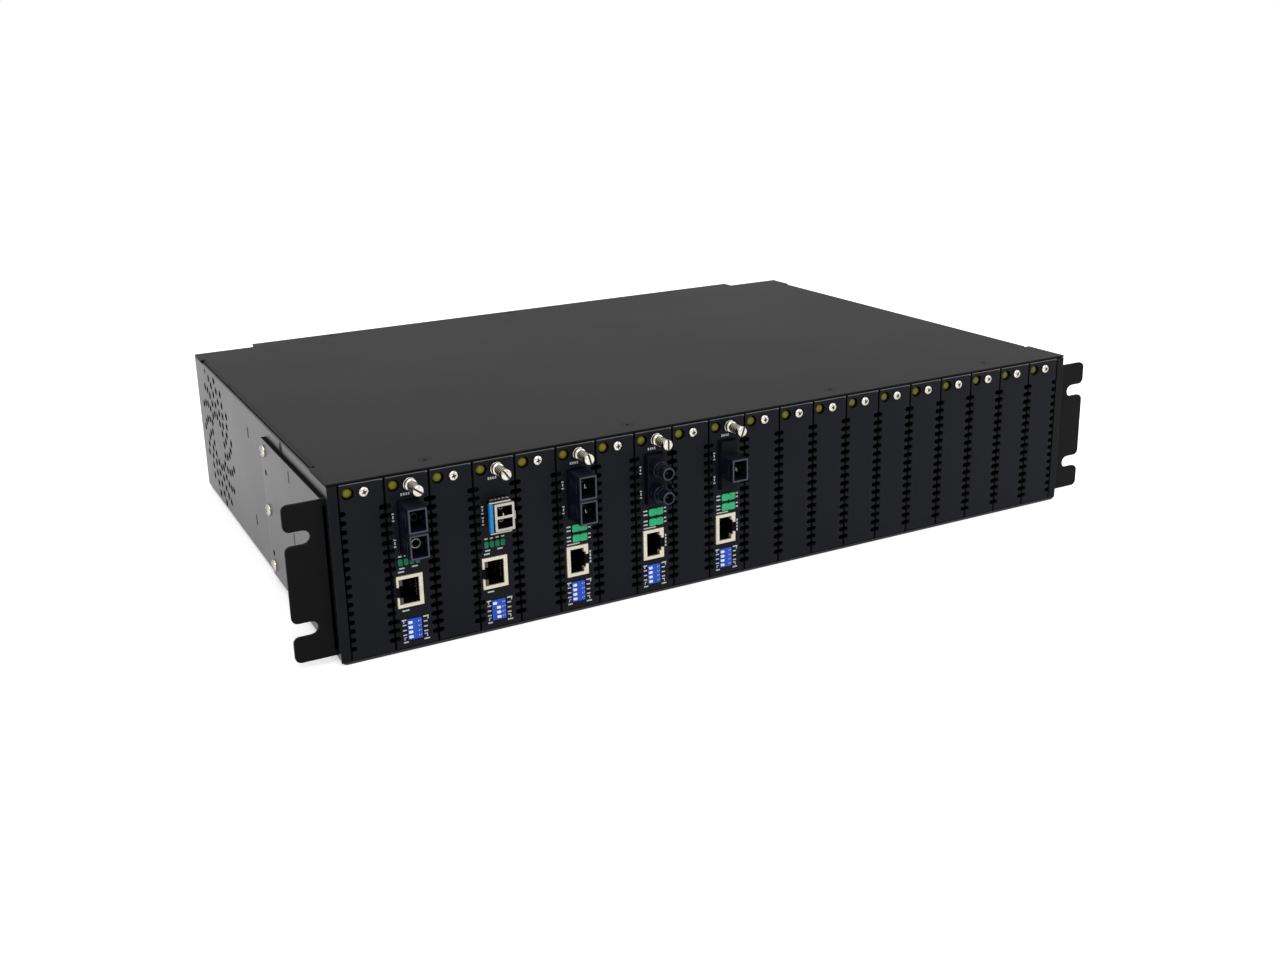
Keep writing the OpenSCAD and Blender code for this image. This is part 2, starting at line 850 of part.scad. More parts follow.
module blank_panel_screws() {
    color(nickel) for (s = blank_slots) at_slot(s)
        translate([screw_x, 0, light_z]) rotate([90, 0, 0]) {
            cylinder(h = screw_head_h * screw_crown_share, r = screw_head_d / 2);
            translate([0, 0, screw_head_h * screw_crown_share])
                cylinder(h = screw_head_h * (1 - screw_crown_share), r1 = screw_head_d / 2,
                    r2 = screw_head_d / 2 * screw_crown_share);
            translate([0, 0, -thumb_shank_len]) cylinder(h = thumb_shank_len, r = screw_r);
        }
}

// Converter modules

function has_row(s) = len(search(s, row_light_slots)) > 0;
function jack_mid(s) = has_row(s) ? jack_high_z : jack_z;
function jack_low_x(s) = has_row(s) ? jack_high_x : jack_x;
function jack_wide(s) = has_row(s) ? jack_high_w : jack_w;

// Opening in a plate for the fibre port, with the fit all round
module fibre_window(s) {
    w = s == 4 ? cage_w : (s == 8 || s == 10) ? st_flange_w : sc_w;
    h = s == 4 ? cage_h : (s == 8 || s == 10) ? st_flange_h : sc_h;
    x = s == 4 ? cage_x : sc_x;
    z = s == 4 ? cage_z : fibre_z;
    translate([x - w / 2 - fit, z - h / 2 - fit]) square([w + 2 * fit, h + 2 * fit]);
}

// Openings in a plate for the status lights
module light_windows(s) {
    if (has_row(s))
        for (i = [0 : row_lights - 1])
            translate([row_light_x + i * row_light_pitch - row_light_w / 2 - light_clear,
                row_light_z - row_light_h / 2 - light_clear])
                square([row_light_w + 2 * light_clear, row_light_h + 2 * light_clear]);
    else
        for (z = block_light_zs)
            translate([block_light_x - light_clear, z - light_clear])
                square([block_light_w + 2 * light_clear, block_light_h + 2 * light_clear]);
}

module faceplate(s) {
    color(plate_black) at_slot(s) difference() {
        slot_plate(screw_r + run_fit, has_row(s));
        upright(-over, plate_t + 2 * over) {
            fibre_window(s);
            light_windows(s);
            translate([jack_low_x(s) - fit, jack_mid(s) - jack_h / 2 - fit])
                square([jack_wide(s) + 2 * fit, jack_h + 2 * fit]);
            translate([dip_x - fit, dip_z - fit]) square([dip_w + 2 * fit, dip_h + 2 * fit]);
        }
    }
}

// Lights of a module: lenses in front of a base that stands on the board
module status_lights(s) {
    y = plate_t + fit;
    if (has_row(s)) {
        top = row_light_x + (row_lights - 1) * row_light_pitch + row_light_w / 2;
        box(board_face - fit, y, row_light_z - row_light_h / 2, top - board_face + fit,
            light_base_d, row_light_h);
        for (i = [0 : row_lights - 1])
            box(row_light_x + i * row_light_pitch - row_light_w / 2, -light_out,
                row_light_z - row_light_h / 2, row_light_w, y + light_out + fit, row_light_h);
    } else {
        for (z = block_light_zs) {
            box(board_face - fit, y, z, block_light_x + block_light_w - board_face + fit,
                light_base_d, block_light_h);
            box(block_light_x, -light_out, z, block_light_w, y + light_out + fit,
                block_light_h);
        }
    }
}

module circuit_board(s) {
    h = board_top - board_z;
    color(board_green) at_slot(s) {
        box(board_x, board_y, board_z, board_t, board_len, h);
        box(board_x, board_end - over, tongue_z(), board_t, tongue_len + over, tongue_h());
        status_lights(s);
        for (c = chip_shares)
            box(board_face - fit, board_y + board_len * c[0], board_z + h * c[1], chip_t + fit,
                board_len * c[2], h * c[3]);
        box(board_face - fit, board_y + board_len * coil_share[0], board_z + h * coil_share[1],
            coil_t + fit, board_len * coil_share[2], h * coil_share[3]);
    }
}

// Rear body of a fibre port, against the board's face
module fibre_body(h) {
    box(board_face, board_y, fibre_z - h / 2, sc_x + sc_w / 2 - board_face, fibre_body_d, h);
}

// Square port opening with the round sleeve left standing in it
module square_port(z) {
    difference() {
        box(sc_x - port_w / 2, -sc_len - over, z - port_h / 2, port_w, port_depth + over, port_h);
        difference() {
            bar_y(sc_x, port_depth - sc_len - sleeve_len, z, sleeve_d / 2, sleeve_len + over);
            bar_y(sc_x, -sc_len, z, sleeve_bore_d / 2, port_depth);
        }
    }
}

// Two square ports above one another
module square_pair() {
    difference() {
        union() {
            fibre_body(sc_h);
            box(sc_x - sc_w / 2, -sc_len, fibre_z - sc_h / 2, sc_w, sc_len + board_y + over,
                sc_h);
        }
        for (side = [-1, 1]) square_port(fibre_z + side * port_pitch / 2);
    }
}

// One square port on a base block
module square_single() {
    difference() {
        union() {
            fibre_body(sc_h);
            box(sc_x - st_flange_w / 2, -st_flange_d, fibre_z - st_flange_h / 2, st_flange_w,
                st_flange_d + plate_t, st_flange_h);
            box(sc_x - sc_w / 2, -sc_len, fibre_z - sc_single_h / 2, sc_w,
                sc_len + board_y + over, sc_single_h);
        }
        square_port(fibre_z);
    }
}

// One bayonet barrel with its ring, lugs, bore and ferrule
module barrel(z) {
    difference() {
        union() {
            bar_y(sc_x, -st_len, z, st_d / 2, st_len);
            bar_y(sc_x, -st_flange_d - st_ring_len, z, st_ring_d / 2, st_ring_len + over);
            bar_x(sc_x - st_d / 2 - st_lug_out, -st_len + st_lug_back, z, st_lug_d / 2,
                st_d + 2 * st_lug_out);
        }
        bar_y(sc_x, -st_len - over, z, st_bore_d / 2, st_bore_len + over);
    }
    bar_y(sc_x, -st_len + st_bore_len - st_ferrule_len, z, st_ferrule_d / 2,
        st_ferrule_len + over);
}

// Two bayonet barrels on a base block
module round_pair() {
    fibre_body(sc_h);
    box(sc_x - st_flange_w / 2, -st_flange_d, fibre_z - st_flange_h / 2, st_flange_w,
        st_flange_d + board_y, st_flange_h);
    for (side = [-1, 1]) barrel(fibre_z + side * port_pitch / 2);
}

module fibre_port(s) {
    color(port_navy) at_slot(s) {
        if (s == 8) round_pair();
        else if (s == 10) square_single();
        else square_pair();
    }
}

// Copper socket: a shielded shell with a keyed plug opening
module copper_socket(s) {
    x = jack_low_x(s);
    w = jack_wide(s);
    z = jack_mid(s);
    key = has_row(s) ? 1 : 0;
    body_x = max(x, board_face);
    color(shield_cream) at_slot(s) difference() {
        union() {
            box(x, -jack_out, z - jack_h / 2, w, jack_flange_y + jack_out, jack_h);
            box(body_x, -jack_out, z - jack_h / 2, x + w - body_x, jack_depth, jack_h);
            box(board_face, jack_flange_y + fit, z - jack_h / 2, x + w - board_face,
                jack_depth - jack_out - jack_flange_y - fit, jack_h);
        }
        translate([x + key * w, 0, z]) mirror([key, 0, 0]) {
            box(jack_band, -jack_out - over, -jack_plug_h / 2, jack_plug_w,
                jack_plug_depth + over, jack_plug_h);
            box(jack_band + jack_plug_w - over, -jack_out - over,
                -jack_plug_h * jack_key_h_share / 2, jack_key_w + over, jack_plug_depth + over,
                jack_plug_h * jack_key_h_share);
            box(jack_band + jack_plug_w - over, -jack_out - over,
                -jack_plug_h * jack_clip_h_share / 2, 2 * jack_key_w + over,
                jack_plug_depth + over, jack_plug_h * jack_clip_h_share);
        }
    }
}

// Height of a switch lever's middle, counted from the lowest
function lever_z(i) = dip_z + dip_h / 2 + (i - (lever_count - 1) / 2) * lever_pitch;

module switch_body(s) {
    color(switch_blue) at_slot(s) difference() {
        union() {
            box(dip_x, -dip_out, dip_z, dip_w, dip_out + board_y + dip_d, dip_h);
            box(board_face, board_y, dip_z, dip_x - board_face + over, dip_d, dip_h);
        }
        for (i = [0 : lever_count - 1])
            box(dip_x + lever_margin, -dip_out - over, lever_z(i) - lever_slot_h / 2,
                dip_w - 2 * lever_margin, lever_slot_d + over, lever_slot_h);
    }
}

// Levers of a switch from the first to the last one named, counted from the lowest
module switch_levers(s, first = 0, last = lever_count - 1) {
    color(lever_white) at_slot(s) for (i = [first : last]) {
        shift = s == 4 ? lever_travel * lever_staggered_share[i] : 0;
        box(dip_x + lever_margin + fit + shift, -dip_out - lever_out, lever_z(i) - lever_h / 2,
            lever_w, lever_out + lever_slot_d - fit, lever_h);
    }
}

module thumbscrew(s) {
    collar_y = -fit - thumb_collar_len;
    color(nickel) at_slot(s) difference() {
        union() {
            bar_y(screw_x, collar_y, light_z, thumb_collar_d / 2, thumb_collar_len);
            bar_y(screw_x, -thumb_len, light_z, thumb_barrel_d / 2, thumb_len - fit);
            bar_y(screw_x, -thumb_len, light_z, thumb_head_d / 2, thumb_head_len);
            bar_y(screw_x, -thumb_len + over, light_z, screw_r,
                thumb_len + thumb_shank_len - over);
        }
        box(screw_x - thumb_head_d, -thumb_len - over, light_z - thumb_groove_w / 2,
            2 * thumb_head_d, thumb_groove_w + over, thumb_groove_w);
    }
}

// Pluggable transceiver of slot 4

module transceiver_cage() {
    color(nickel) at_slot(4) {
        difference() {
            box(cage_x - cage_w / 2, -cage_out, cage_z - cage_h / 2, cage_w,
                cage_out + cage_len, cage_h);
            box(cage_x - cage_w / 2 + cage_wall, -cage_out - over,
                cage_z - cage_h / 2 + cage_wall, cage_w - 2 * cage_wall,
                cage_out + cage_len + over - cage_wall, cage_h - 2 * cage_wall);
        }
        box(board_face, board_y, cage_z - cage_h / 2, cage_x - cage_w / 2 - board_face,
            cage_len - board_y, cage_h);
    }
}

// Pivot of the bail latch, from the slot's seam and the front plane
function bail_x() = cage_x + nose_w / 2 - bail_pivot_x;

module transceiver() {
    w = cage_w - 2 * (cage_wall + fit);
    h = cage_h - 2 * (cage_wall + fit);
    color(nickel) at_slot(4) difference() {
        union() {
            box(cage_x - w / 2, -cage_out - fit - over, cage_z - h / 2, w,
                cage_out + cage_len + over - cage_wall - over, h);
            box(cage_x - nose_w / 2, -nose_out, cage_z - nose_h / 2, nose_w,
                nose_out - cage_out - fit, nose_h);
        }
        for (side = [-1, 1]) {
            z = cage_z + side * lc_pitch / 2;
            difference() {
                box(cage_x - lc_w / 2, -nose_out - over, z - lc_h / 2, lc_w, lc_depth + over,
                    lc_h);
                bar_y(cage_x, -nose_out + lc_depth - lc_sleeve_len, z, lc_sleeve_d / 2,
                    lc_sleeve_len + over);
            }
            translate([bail_x(), -bail_pivot_y, cage_z + side * nose_h / 2])
                cylinder(h = 2 * (bail_pin_len + fit), r = bail_pin_r + run_fit, center = true);
        }
    }
}

module bail_latch() {
    leg_z = nose_h / 2 + fit;
    color(bail_blue) at_slot(4) translate([bail_x(), -bail_pivot_y, cage_z]) {
        for (side = [0, 1]) mirror([0, 0, side]) {
            translate([-bail_reach - bail_bar_w, -bail_leg_w / 2, leg_z])
                cube([bail_reach + bail_bar_w, bail_leg_w, bail_leg_t]);
            translate([0, 0, leg_z]) cylinder(h = bail_leg_t, r = bail_leg_w / 2);
            translate([0, 0, leg_z - bail_pin_len])
                cylinder(h = bail_pin_len + bail_leg_t, r = bail_pin_r);
        }
        translate([-bail_reach - bail_bar_w, -bail_bar_d / 2, -leg_z - bail_leg_t])
            cube([bail_bar_w, bail_bar_d, 2 * (leg_z + bail_leg_t)]);
    }
}

// Cooling fans

// Outline of a fan's hub plate and its four struts, in Y and Z
module fan_struts(hub_r, bore_r) {
    difference() {
        union() {
            circle(hub_r);
            for (a = [45 : 90 : 315]) rotate(a)
                translate([0, -fan_strut_w / 2]) square([bore_r + over, fan_strut_w]);
        }
        circle(fan_shaft_r + run_fit);
    }
}

// Frame of the left fan; its outer face lies against the side wall
module fan_frame() {
    x = -inner_x;
    bore_r = fan_w * fan_bore_share;
    translate([0, fan_y, fan_z]) {
        sideways(x, fan_t) difference() {
            square(fan_w, center = true);
            circle(bore_r);
            for (u = [-1, 1], v = [-1, 1])
                translate([u * fan_w * fan_corner_share, v * fan_w * fan_corner_share])
                    circle(fan_hole_r);
        }
        sideways(x + fan_t - fan_strut_t, fan_strut_t)
            fan_struts(fan_w * fan_hub_r_share, bore_r);
    }
}

module fan_frames() {
    color(fan_black) from_front() both_sides() fan_frame();
}

// Rotor of the left fan: a hub, a shaft and slanted blades
module fan_rotor() {
    x = -inner_x + rotor_margin;
    hub_r = fan_w * fan_hub_r_share;
    tip_r = fan_w * fan_blade_r_share;
    depth = fan_t - fan_strut_t - rotor_margin - fan_hub_gap;
    translate([0, fan_y, fan_z]) {
        bar_x(x, 0, 0, hub_r, depth);
        bar_x(x, 0, 0, fan_shaft_r, fan_t - rotor_margin);
        intersection() {
            difference() {
                bar_x(x, 0, 0, tip_r, depth);
                bar_x(x - over, 0, 0, hub_r - over, depth + 2 * over);
            }
            for (i = [0 : fan_blade_count - 1])
                rotate([360 * i / fan_blade_count, 0, 0]) translate([x + depth / 2, 0, 0])
                    rotate([0, 0, fan_blade_pitch])
                        translate([-depth, -fan_blade_t / 2, 0])
                            cube([2 * depth, fan_blade_t, tip_r]);
        }
    }
}

module left_fan_rotor() {
    color(fan_black) from_front() fan_rotor();
}

module right_fan_rotor() {
    color(fan_black) from_front() mirror([1, 0, 0]) fan_rotor();
}

// Power supplies

// Middle of a fitting on a supply's rear face, from the body's middle
function supply_at(share) = -supply_x0 - supply_w * (1 - share);
function supply_mid_z() = supply_z + supply_h / 2;

// Left supply: a steel box with a board, a vented rear face and a handle
module supply_case() {
    x = -supply_x0 - supply_w;
    board_low = supply_z + sheet + supply_board_up;
    in_w = supply_w - 2 * sheet;
    in_len = supply_len - sheet;
    difference() {
        box(x, supply_start, supply_z, supply_w, supply_len, supply_h);
        box(x + sheet, supply_start - over, supply_z + sheet, in_w, in_len + over,
            supply_h - 2 * sheet);
        translate([supply_at(vent_share), step_y - sheet - over, supply_mid_z()])
            rotate([0, 0, 90]) mirror([0, 1, 0])
                vent_holes(supply_vent_r, grille_hole_d / 2, sheet + 2 * over);
        box(supply_at(inlet_share) - inlet_body_w / 2 - fit, step_y - sheet - over,
            supply_mid_z() - inlet_body_h / 2 - fit, inlet_body_w + 2 * fit, sheet + 2 * over,
            inlet_body_h + 2 * fit);
    }
    box(x + sheet, supply_start, board_low, in_w, in_len - inlet_body_d - 2 * sheet, board_t);
    box(x + supply_w / 2 - power_tongue_w / 2, supply_start - power_tongue_len, board_low,
        power_tongue_w, power_tongue_len + over, board_t);
    for (p = supply_part_shares)
        box(x + sheet + in_w * p[0], supply_start + in_len * p[1], board_low, in_w * p[2],
            in_len * p[3], supply_h * p[4]);
    handle();
}

// Round-cornered pull handle on the rear face
module handle() {
    mid = supply_at(handle_share);
    r = handle_d / 2;
    for (side = [-1, 1]) {
        bar_y(mid + side * handle_span / 2, step_y - sheet, supply_mid_z(), r,
            handle_out - r + sheet);
        translate([mid + side * handle_span / 2, step_y + handle_out - r, supply_mid_z()])
            sphere(r);
    }
    bar_x(mid - handle_span / 2, step_y + handle_out - r, supply_mid_z(), r, handle_span);
}

module left_supply_case() {
    color(supply_steel) from_front() supply_case();
}

module right_supply_case() {
    color(supply_steel) from_front() translate([supply_w + 2 * supply_x0, 0, 0]) supply_case();
}

// Power inlet with a rocker window, in one moulding
module power_inlet() {
    mid = supply_at(inlet_share);
    z = supply_mid_z();
    face = step_y + flange_t;
    difference() {
        union() {
            upright(step_y, flange_t) translate([mid - flange_w / 2, z - flange_h / 2])
                round_rect(flange_w, flange_h, flange_r);
            box(mid - inlet_body_w / 2, step_y - inlet_body_d, z - inlet_body_h / 2,
                inlet_body_w, inlet_body_d + over, inlet_body_h);
        }
        difference() {
            box(mid - inlet_w / 2, face - inlet_depth, z - inlet_drop - inlet_h / 2, inlet_w,
                inlet_depth + over, inlet_h);
            for (side = [-1, 0, 1])
                box(mid + side * inlet_pin_gap - inlet_pin_w / 2, face - inlet_depth - over,
                    z - inlet_drop - inlet_pin_h / 2 + (side == 0 ? inlet_pin_h / 2 : 0),
                    inlet_pin_w, inlet_pin_len + over, inlet_pin_h);
        }
        box(mid - rocker_w / 2 - rocker_gap / 2, face - rocker_well_d,
            z + rocker_up - rocker_h / 2 - rocker_gap, rocker_w + rocker_gap,
            rocker_well_d + over, rocker_h + 2 * rocker_gap);
        bar_x(mid - rocker_w / 2 - rocker_gap / 2 - rocker_pin_len - fit,
            face - rocker_pivot_in, z + rocker_up, rocker_pin_r + run_fit,
            rocker_w + rocker_gap + 2 * (rocker_pin_len + fit));
    }
}

module left_power_inlet() {
    color(inlet_black) from_front() power_inlet();
}

module right_power_inlet() {
    color(inlet_black) from_front() translate([supply_w + 2 * supply_x0, 0, 0]) power_inlet();
}

// Rocker: two flats that meet in a ridge over the pivot
module power_rocker() {
    mid = supply_at(inlet_share);
    half = rocker_h / 2;
    pin = rocker_w / 2 + rocker_gap / 2 + rocker_pin_len;
    translate([mid, step_y + flange_t - rocker_pivot_in, supply_mid_z() + rocker_up])
        rotate([rocker_tilt, 0, 0]) {
            sideways(-rocker_w / 2, rocker_w) polygon([
                [-rocker_back, -half], [rocker_edge, -half], [rocker_ridge, 0],
                [rocker_edge, half], [-rocker_back, half]
            ]);
            bar_x(-pin, 0, 0, rocker_pin_r, 2 * pin);
        }
}

module left_power_rocker() {
    color(inlet_black) from_front() power_rocker();
}

module right_power_rocker() {
    color(inlet_black) from_front() translate([supply_w + 2 * supply_x0, 0, 0]) power_rocker();
}

chassis_tray();
top_cover();
left_rack_ear();
right_rack_ear();
ear_screws();
cover_screws();
card_cage_plate();
slot_lights();
card_guides();
inner_boards();
backplane_sockets();
blank_panels();
blank_panel_screws();
fan_frames();
left_fan_rotor();
right_fan_rotor();
left_supply_case();
left_power_inlet();
left_power_rocker();
right_supply_case();
right_power_inlet();
right_power_rocker();
faceplate(2);  // slot_2_faceplate
circuit_board(2);  // slot_2_circuit_board
fibre_port(2);  // slot_2_fibre_port
copper_socket(2);  // slot_2_copper_socket
switch_body(2);  // slot_2_switch_body
switch_levers(2);  // slot_2_switch_levers
thumbscrew(2);  // slot_2_thumbscrew
faceplate(4);  // slot_4_faceplate
circuit_board(4);  // slot_4_circuit_board
transceiver_cage();  // slot_4_transceiver_cage
transceiver();  // slot_4_transceiver
bail_latch();  // slot_4_bail_latch
copper_socket(4);  // slot_4_copper_socket
switch_body(4);  // slot_4_switch_body
switch_levers(4, 0, lever_count - 2);  // slot_4_switch_levers
switch_levers(4, lever_count - 1, lever_count - 1);  // slot_4_upper_lever
thumbscrew(4);  // slot_4_thumbscrew
faceplate(6);  // slot_6_faceplate
circuit_board(6);  // slot_6_circuit_board
fibre_port(6);  // slot_6_fibre_port
copper_socket(6);  // slot_6_copper_socket
switch_body(6);  // slot_6_switch_body
switch_levers(6);  // slot_6_switch_levers
thumbscrew(6);  // slot_6_thumbscrew
faceplate(8);  // slot_8_faceplate
circuit_board(8);  // slot_8_circuit_board
fibre_port(8);  // slot_8_fibre_port
copper_socket(8);  // slot_8_copper_socket
switch_body(8);  // slot_8_switch_body
switch_levers(8);  // slot_8_switch_levers
thumbscrew(8);  // slot_8_thumbscrew
faceplate(10);  // slot_10_faceplate
circuit_board(10);  // slot_10_circuit_board
fibre_port(10);  // slot_10_fibre_port
copper_socket(10);  // slot_10_copper_socket
switch_body(10);  // slot_10_switch_body
switch_levers(10);  // slot_10_switch_levers
thumbscrew(10);  // slot_10_thumbscrew
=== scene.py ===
"""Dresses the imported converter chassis: its finishes, connectors, screws, lights and marks."""

import logging
import math
from collections.abc import Iterable, Sequence
from dataclasses import dataclass, field
from enum import Enum
from functools import cache

import bmesh
import bpy
from mathutils import Matrix, Vector
from mathutils.geometry import delaunay_2d_cdt


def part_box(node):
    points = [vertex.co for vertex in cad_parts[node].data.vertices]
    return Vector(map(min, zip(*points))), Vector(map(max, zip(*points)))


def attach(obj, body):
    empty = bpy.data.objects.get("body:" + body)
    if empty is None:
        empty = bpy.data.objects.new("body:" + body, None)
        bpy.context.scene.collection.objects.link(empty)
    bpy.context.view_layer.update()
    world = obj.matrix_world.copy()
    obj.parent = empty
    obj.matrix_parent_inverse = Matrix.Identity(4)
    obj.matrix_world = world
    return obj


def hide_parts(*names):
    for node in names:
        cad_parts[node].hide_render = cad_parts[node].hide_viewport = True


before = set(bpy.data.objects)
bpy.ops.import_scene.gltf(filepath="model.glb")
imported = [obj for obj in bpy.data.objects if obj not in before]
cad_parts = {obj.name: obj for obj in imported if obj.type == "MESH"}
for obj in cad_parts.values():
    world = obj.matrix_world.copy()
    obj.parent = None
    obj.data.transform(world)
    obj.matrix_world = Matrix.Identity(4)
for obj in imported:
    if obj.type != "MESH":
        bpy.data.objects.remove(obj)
LOG = logging.getLogger("chassis")
MM = 0.001
FRONT = -150.0
MERGE = 0.0005
MITRE_LIMIT = 0.8
ROUND_SHARE = 0.45
SHARP = 50.0
FACE_WEIGHT = 90
RECESS_TURN = 24.0
Point = Sequence[float]
Outline = list[tuple[float, float]]


class Plane(Enum):
    """The plane in which an outline is drawn."""

    FRONT = "XZ"
    SIDE = "YZ"
    TOP = "XY"


class Axis(Enum):
    """A direction that a turned form lies along."""

    X = "X"
    Y = "Y"
    Z = "Z"


class Port(Enum):
    """The fibre port that a module carries."""

    SQUARE_PAIR = "two square ports"
    SQUARE_SINGLE = "one square port"
    ROUND_PAIR = "two bayonet barrels"
    TRANSCEIVER = "pluggable transceiver"


# Shader node groups


def wire(tree: bpy.types.NodeTree, kind: str, sources: dict[str | int, object] | None = None,
         **settings: object) -> bpy.types.Node:
    """Adds a node, sets its properties and links or fills its inputs.

    Args:
        tree: The tree that gets the node.
        kind: The node's type name.
        sources: Input name or index to an output socket or a value.
        settings: Properties of the node.

    Returns:
        The new node.
    """
    node = tree.nodes.new(kind)
    for key, value in settings.items():
        setattr(node, key, value)
    for key, source in (sources or {}).items():
        socket = node.inputs[key]
        if isinstance(source, bpy.types.NodeSocket):
            tree.links.new(source, socket)
        else:
            socket.default_value = source
    return node


def math_node(tree: bpy.types.NodeTree, operation: str, *values: object,
              clamp: bool = False) -> bpy.types.NodeSocket:
    """Adds a Math node and gives its result."""
    return wire(tree, "ShaderNodeMath", dict(enumerate(values)), operation=operation,
                use_clamp=clamp).outputs[0]


class Effects:
    """The shared effects, each a node group that is built once."""

    @staticmethod
    def start(name: str, inputs: dict[str, float]) -> bpy.types.NodeTree:
        """Starts a group with an effect's own number sockets and those that all effects share.

        Args:
            name: Name of the group.
            inputs: The effect's own number sockets and their defaults.

        Returns:
            The group with its input and output nodes.
        """
        tree = bpy.data.node_groups.new(name, "ShaderNodeTree")
        number, colour = "NodeSocketFloat", "NodeSocketColor"
        for label, value in (inputs | {"Roughness": 0.5, "Roughness spread": 0.1}).items():
            socket = tree.interface.new_socket(label, in_out="INPUT", socket_type=number)
            socket.default_value = value
        for label in ("Colour", "Second colour"):
            tree.interface.new_socket(label, in_out="INPUT", socket_type=colour)
        for label, kind in (("Colour", colour), ("Roughness", number), ("Height", number)):
            tree.interface.new_socket(label, in_out="OUTPUT", socket_type=kind)
        tree.nodes.new("NodeGroupInput").name = "in"
        tree.nodes.new("NodeGroupOutput").name = "out"
        return tree

    @staticmethod
    def end(tree: bpy.types.NodeTree, share: bpy.types.NodeSocket, level: bpy.types.NodeSocket,
            height: bpy.types.NodeSocket) -> bpy.types.NodeTree:
        """Links a group's outputs.

        Args:
            tree: The group.
            share: Share of the second colour.
            level: Pattern that the roughness follows on both sides of its middle value.
            height: Pattern of the relief.

        Returns:
            The group.
        """
        given, out = tree.nodes["in"].outputs, tree.nodes["out"].inputs
        tint = wire(tree, "ShaderNodeMix",
                    {"Factor": share, 6: given["Colour"], 7: given["Second colour"]},
                    data_type="RGBA")
        rough = math_node(tree, "MULTIPLY_ADD", math_node(tree, "SUBTRACT", level, 0.5),
                          given["Roughness spread"], given["Roughness"], clamp=True)
        for label, source in (("Colour", tint.outputs[2]), ("Roughness", rough),
                              ("Height", height)):
            tree.links.new(source, out[label])
        return tree

    @staticmethod
    @cache
    def grain() -> bpy.types.NodeTree:
        """Fine grain with soft patches, as on powder coat, moulded plastic and lacquer."""
        tree = Effects.start("surface_grain", {"Grain scale": 1500.0, "Patch scale": 40.0,
                                               "Patch amount": 0.3})
        given = tree.nodes["in"].outputs
        spot = wire(tree, "ShaderNodeTexCoord").outputs["Object"]
        fine, broad = (wire(tree, "ShaderNodeTexNoise",
                            {"Vector": spot, "Scale": given[scale], "Detail": detail}
                            ).outputs["Fac"]
                       for scale, detail in (("Grain scale", 3.0), ("Patch scale", 4.0)))
        patch = math_node(tree, "MULTIPLY", broad, given["Patch amount"])
        speck = math_node(tree, "MULTIPLY", fine, patch, clamp=True)
        return Effects.end(tree, speck, broad, fine)

    @staticmethod
    @cache
    def brushing() -> bpy.types.NodeTree:
        """Long fine scratches with a slight change of tone, as on rolled or turned metal."""
        tree = Effects.start("metal_brushing", {"Scratch scale": 900.0, "Stretch": 0.05})
        given = tree.nodes["in"].outputs
        spot = wire(tree, "ShaderNodeTexCoord").outputs["Object"]
        scale = wire(tree, "ShaderNodeCombineXYZ", {"X": given["Stretch"], "Y": 1.0, "Z": 1.0})
        drawn = wire(tree, "ShaderNodeVectorMath", {0: spot, 1: scale.outputs[0]},
                     operation="MULTIPLY")
        lines = wire(tree, "ShaderNodeTexNoise",
                     {"Vector": drawn.outputs[0], "Scale": given["Scratch scale"],
                      "Detail": 5.0}).outputs["Fac"]
        return Effects.end(tree, lines, lines, lines)


@dataclass(frozen=True)
class Finish:
    """One finish: a base colour with its grain or brushing, gloss, relief and painted shade
    towards its outline.
    """

    name: str
    slot: str
    colour: tuple[float, float, float]
    second: tuple[float, float, float]
    roughness: float = 0.5
    spread: float = 0.12
    metallic: float = 0.0
    specular: float = 0.5
    grain_scale: float = 1500.0
    patch_scale: float = 40.0
    patch: float = 0.6
    relief: float = 0.05
    # Painted shade: how strongly the colour darkens where the surface turns away from the camera.
    edge: float = 0.0
    brushed: bool = False

    def material(self) -> bpy.types.Material:
        """The Blender material of this finish, built at its first use."""
        known = bpy.data.materials.get(self.name)
        if known:
            return known
        made = bpy.data.materials.new(self.name)
        made.use_nodes = True
        tree = made.node_tree
        shader = tree.nodes["Principled BSDF"]
        values: dict[str | int, object] = {
            "Colour": (*self.colour, 1.0), "Second colour": (*self.second, 1.0),
            "Roughness": self.roughness, "Roughness spread": self.spread}
        values |= {"Scratch scale": self.grain_scale} if self.brushed else {
            "Grain scale": self.grain_scale, "Patch scale": self.patch_scale,
            "Patch amount": self.patch * 2.0}
        effect = wire(tree, "ShaderNodeGroup", values,
                      node_tree=Effects.brushing() if self.brushed else Effects.grain())
        bump = wire(tree, "ShaderNodeBump",
                    {"Height": effect.outputs["Height"], "Distance": self.relief * MM,
                     "Strength": 1.0})
        tone = effect.outputs["Colour"]
        # Painted shade: the colour darkens towards a near black of the second colour where the
        # surface turns away from the camera.
        if self.edge:
            facing = wire(tree, "ShaderNodeLayerWeight", {"Blend": 0.45})
            amount = math_node(tree, "MULTIPLY", facing.outputs["Facing"], self.edge)
            dark = (*(0.12 * c for c in self.second), 1.0)
            tone = wire(tree, "ShaderNodeMix", {"Factor": amount, 6: tone, 7: dark},
                        data_type="RGBA").outputs[2]
        tree.links.new(tone, shader.inputs["Base Color"])
        tree.links.new(effect.outputs["Roughness"], shader.inputs["Roughness"])
        tree.links.new(bump.outputs[0], shader.inputs["Normal"])
        shader.inputs["Metallic"].default_value = self.metallic
        shader.inputs["Specular IOR Level"].default_value = self.specular
        return made


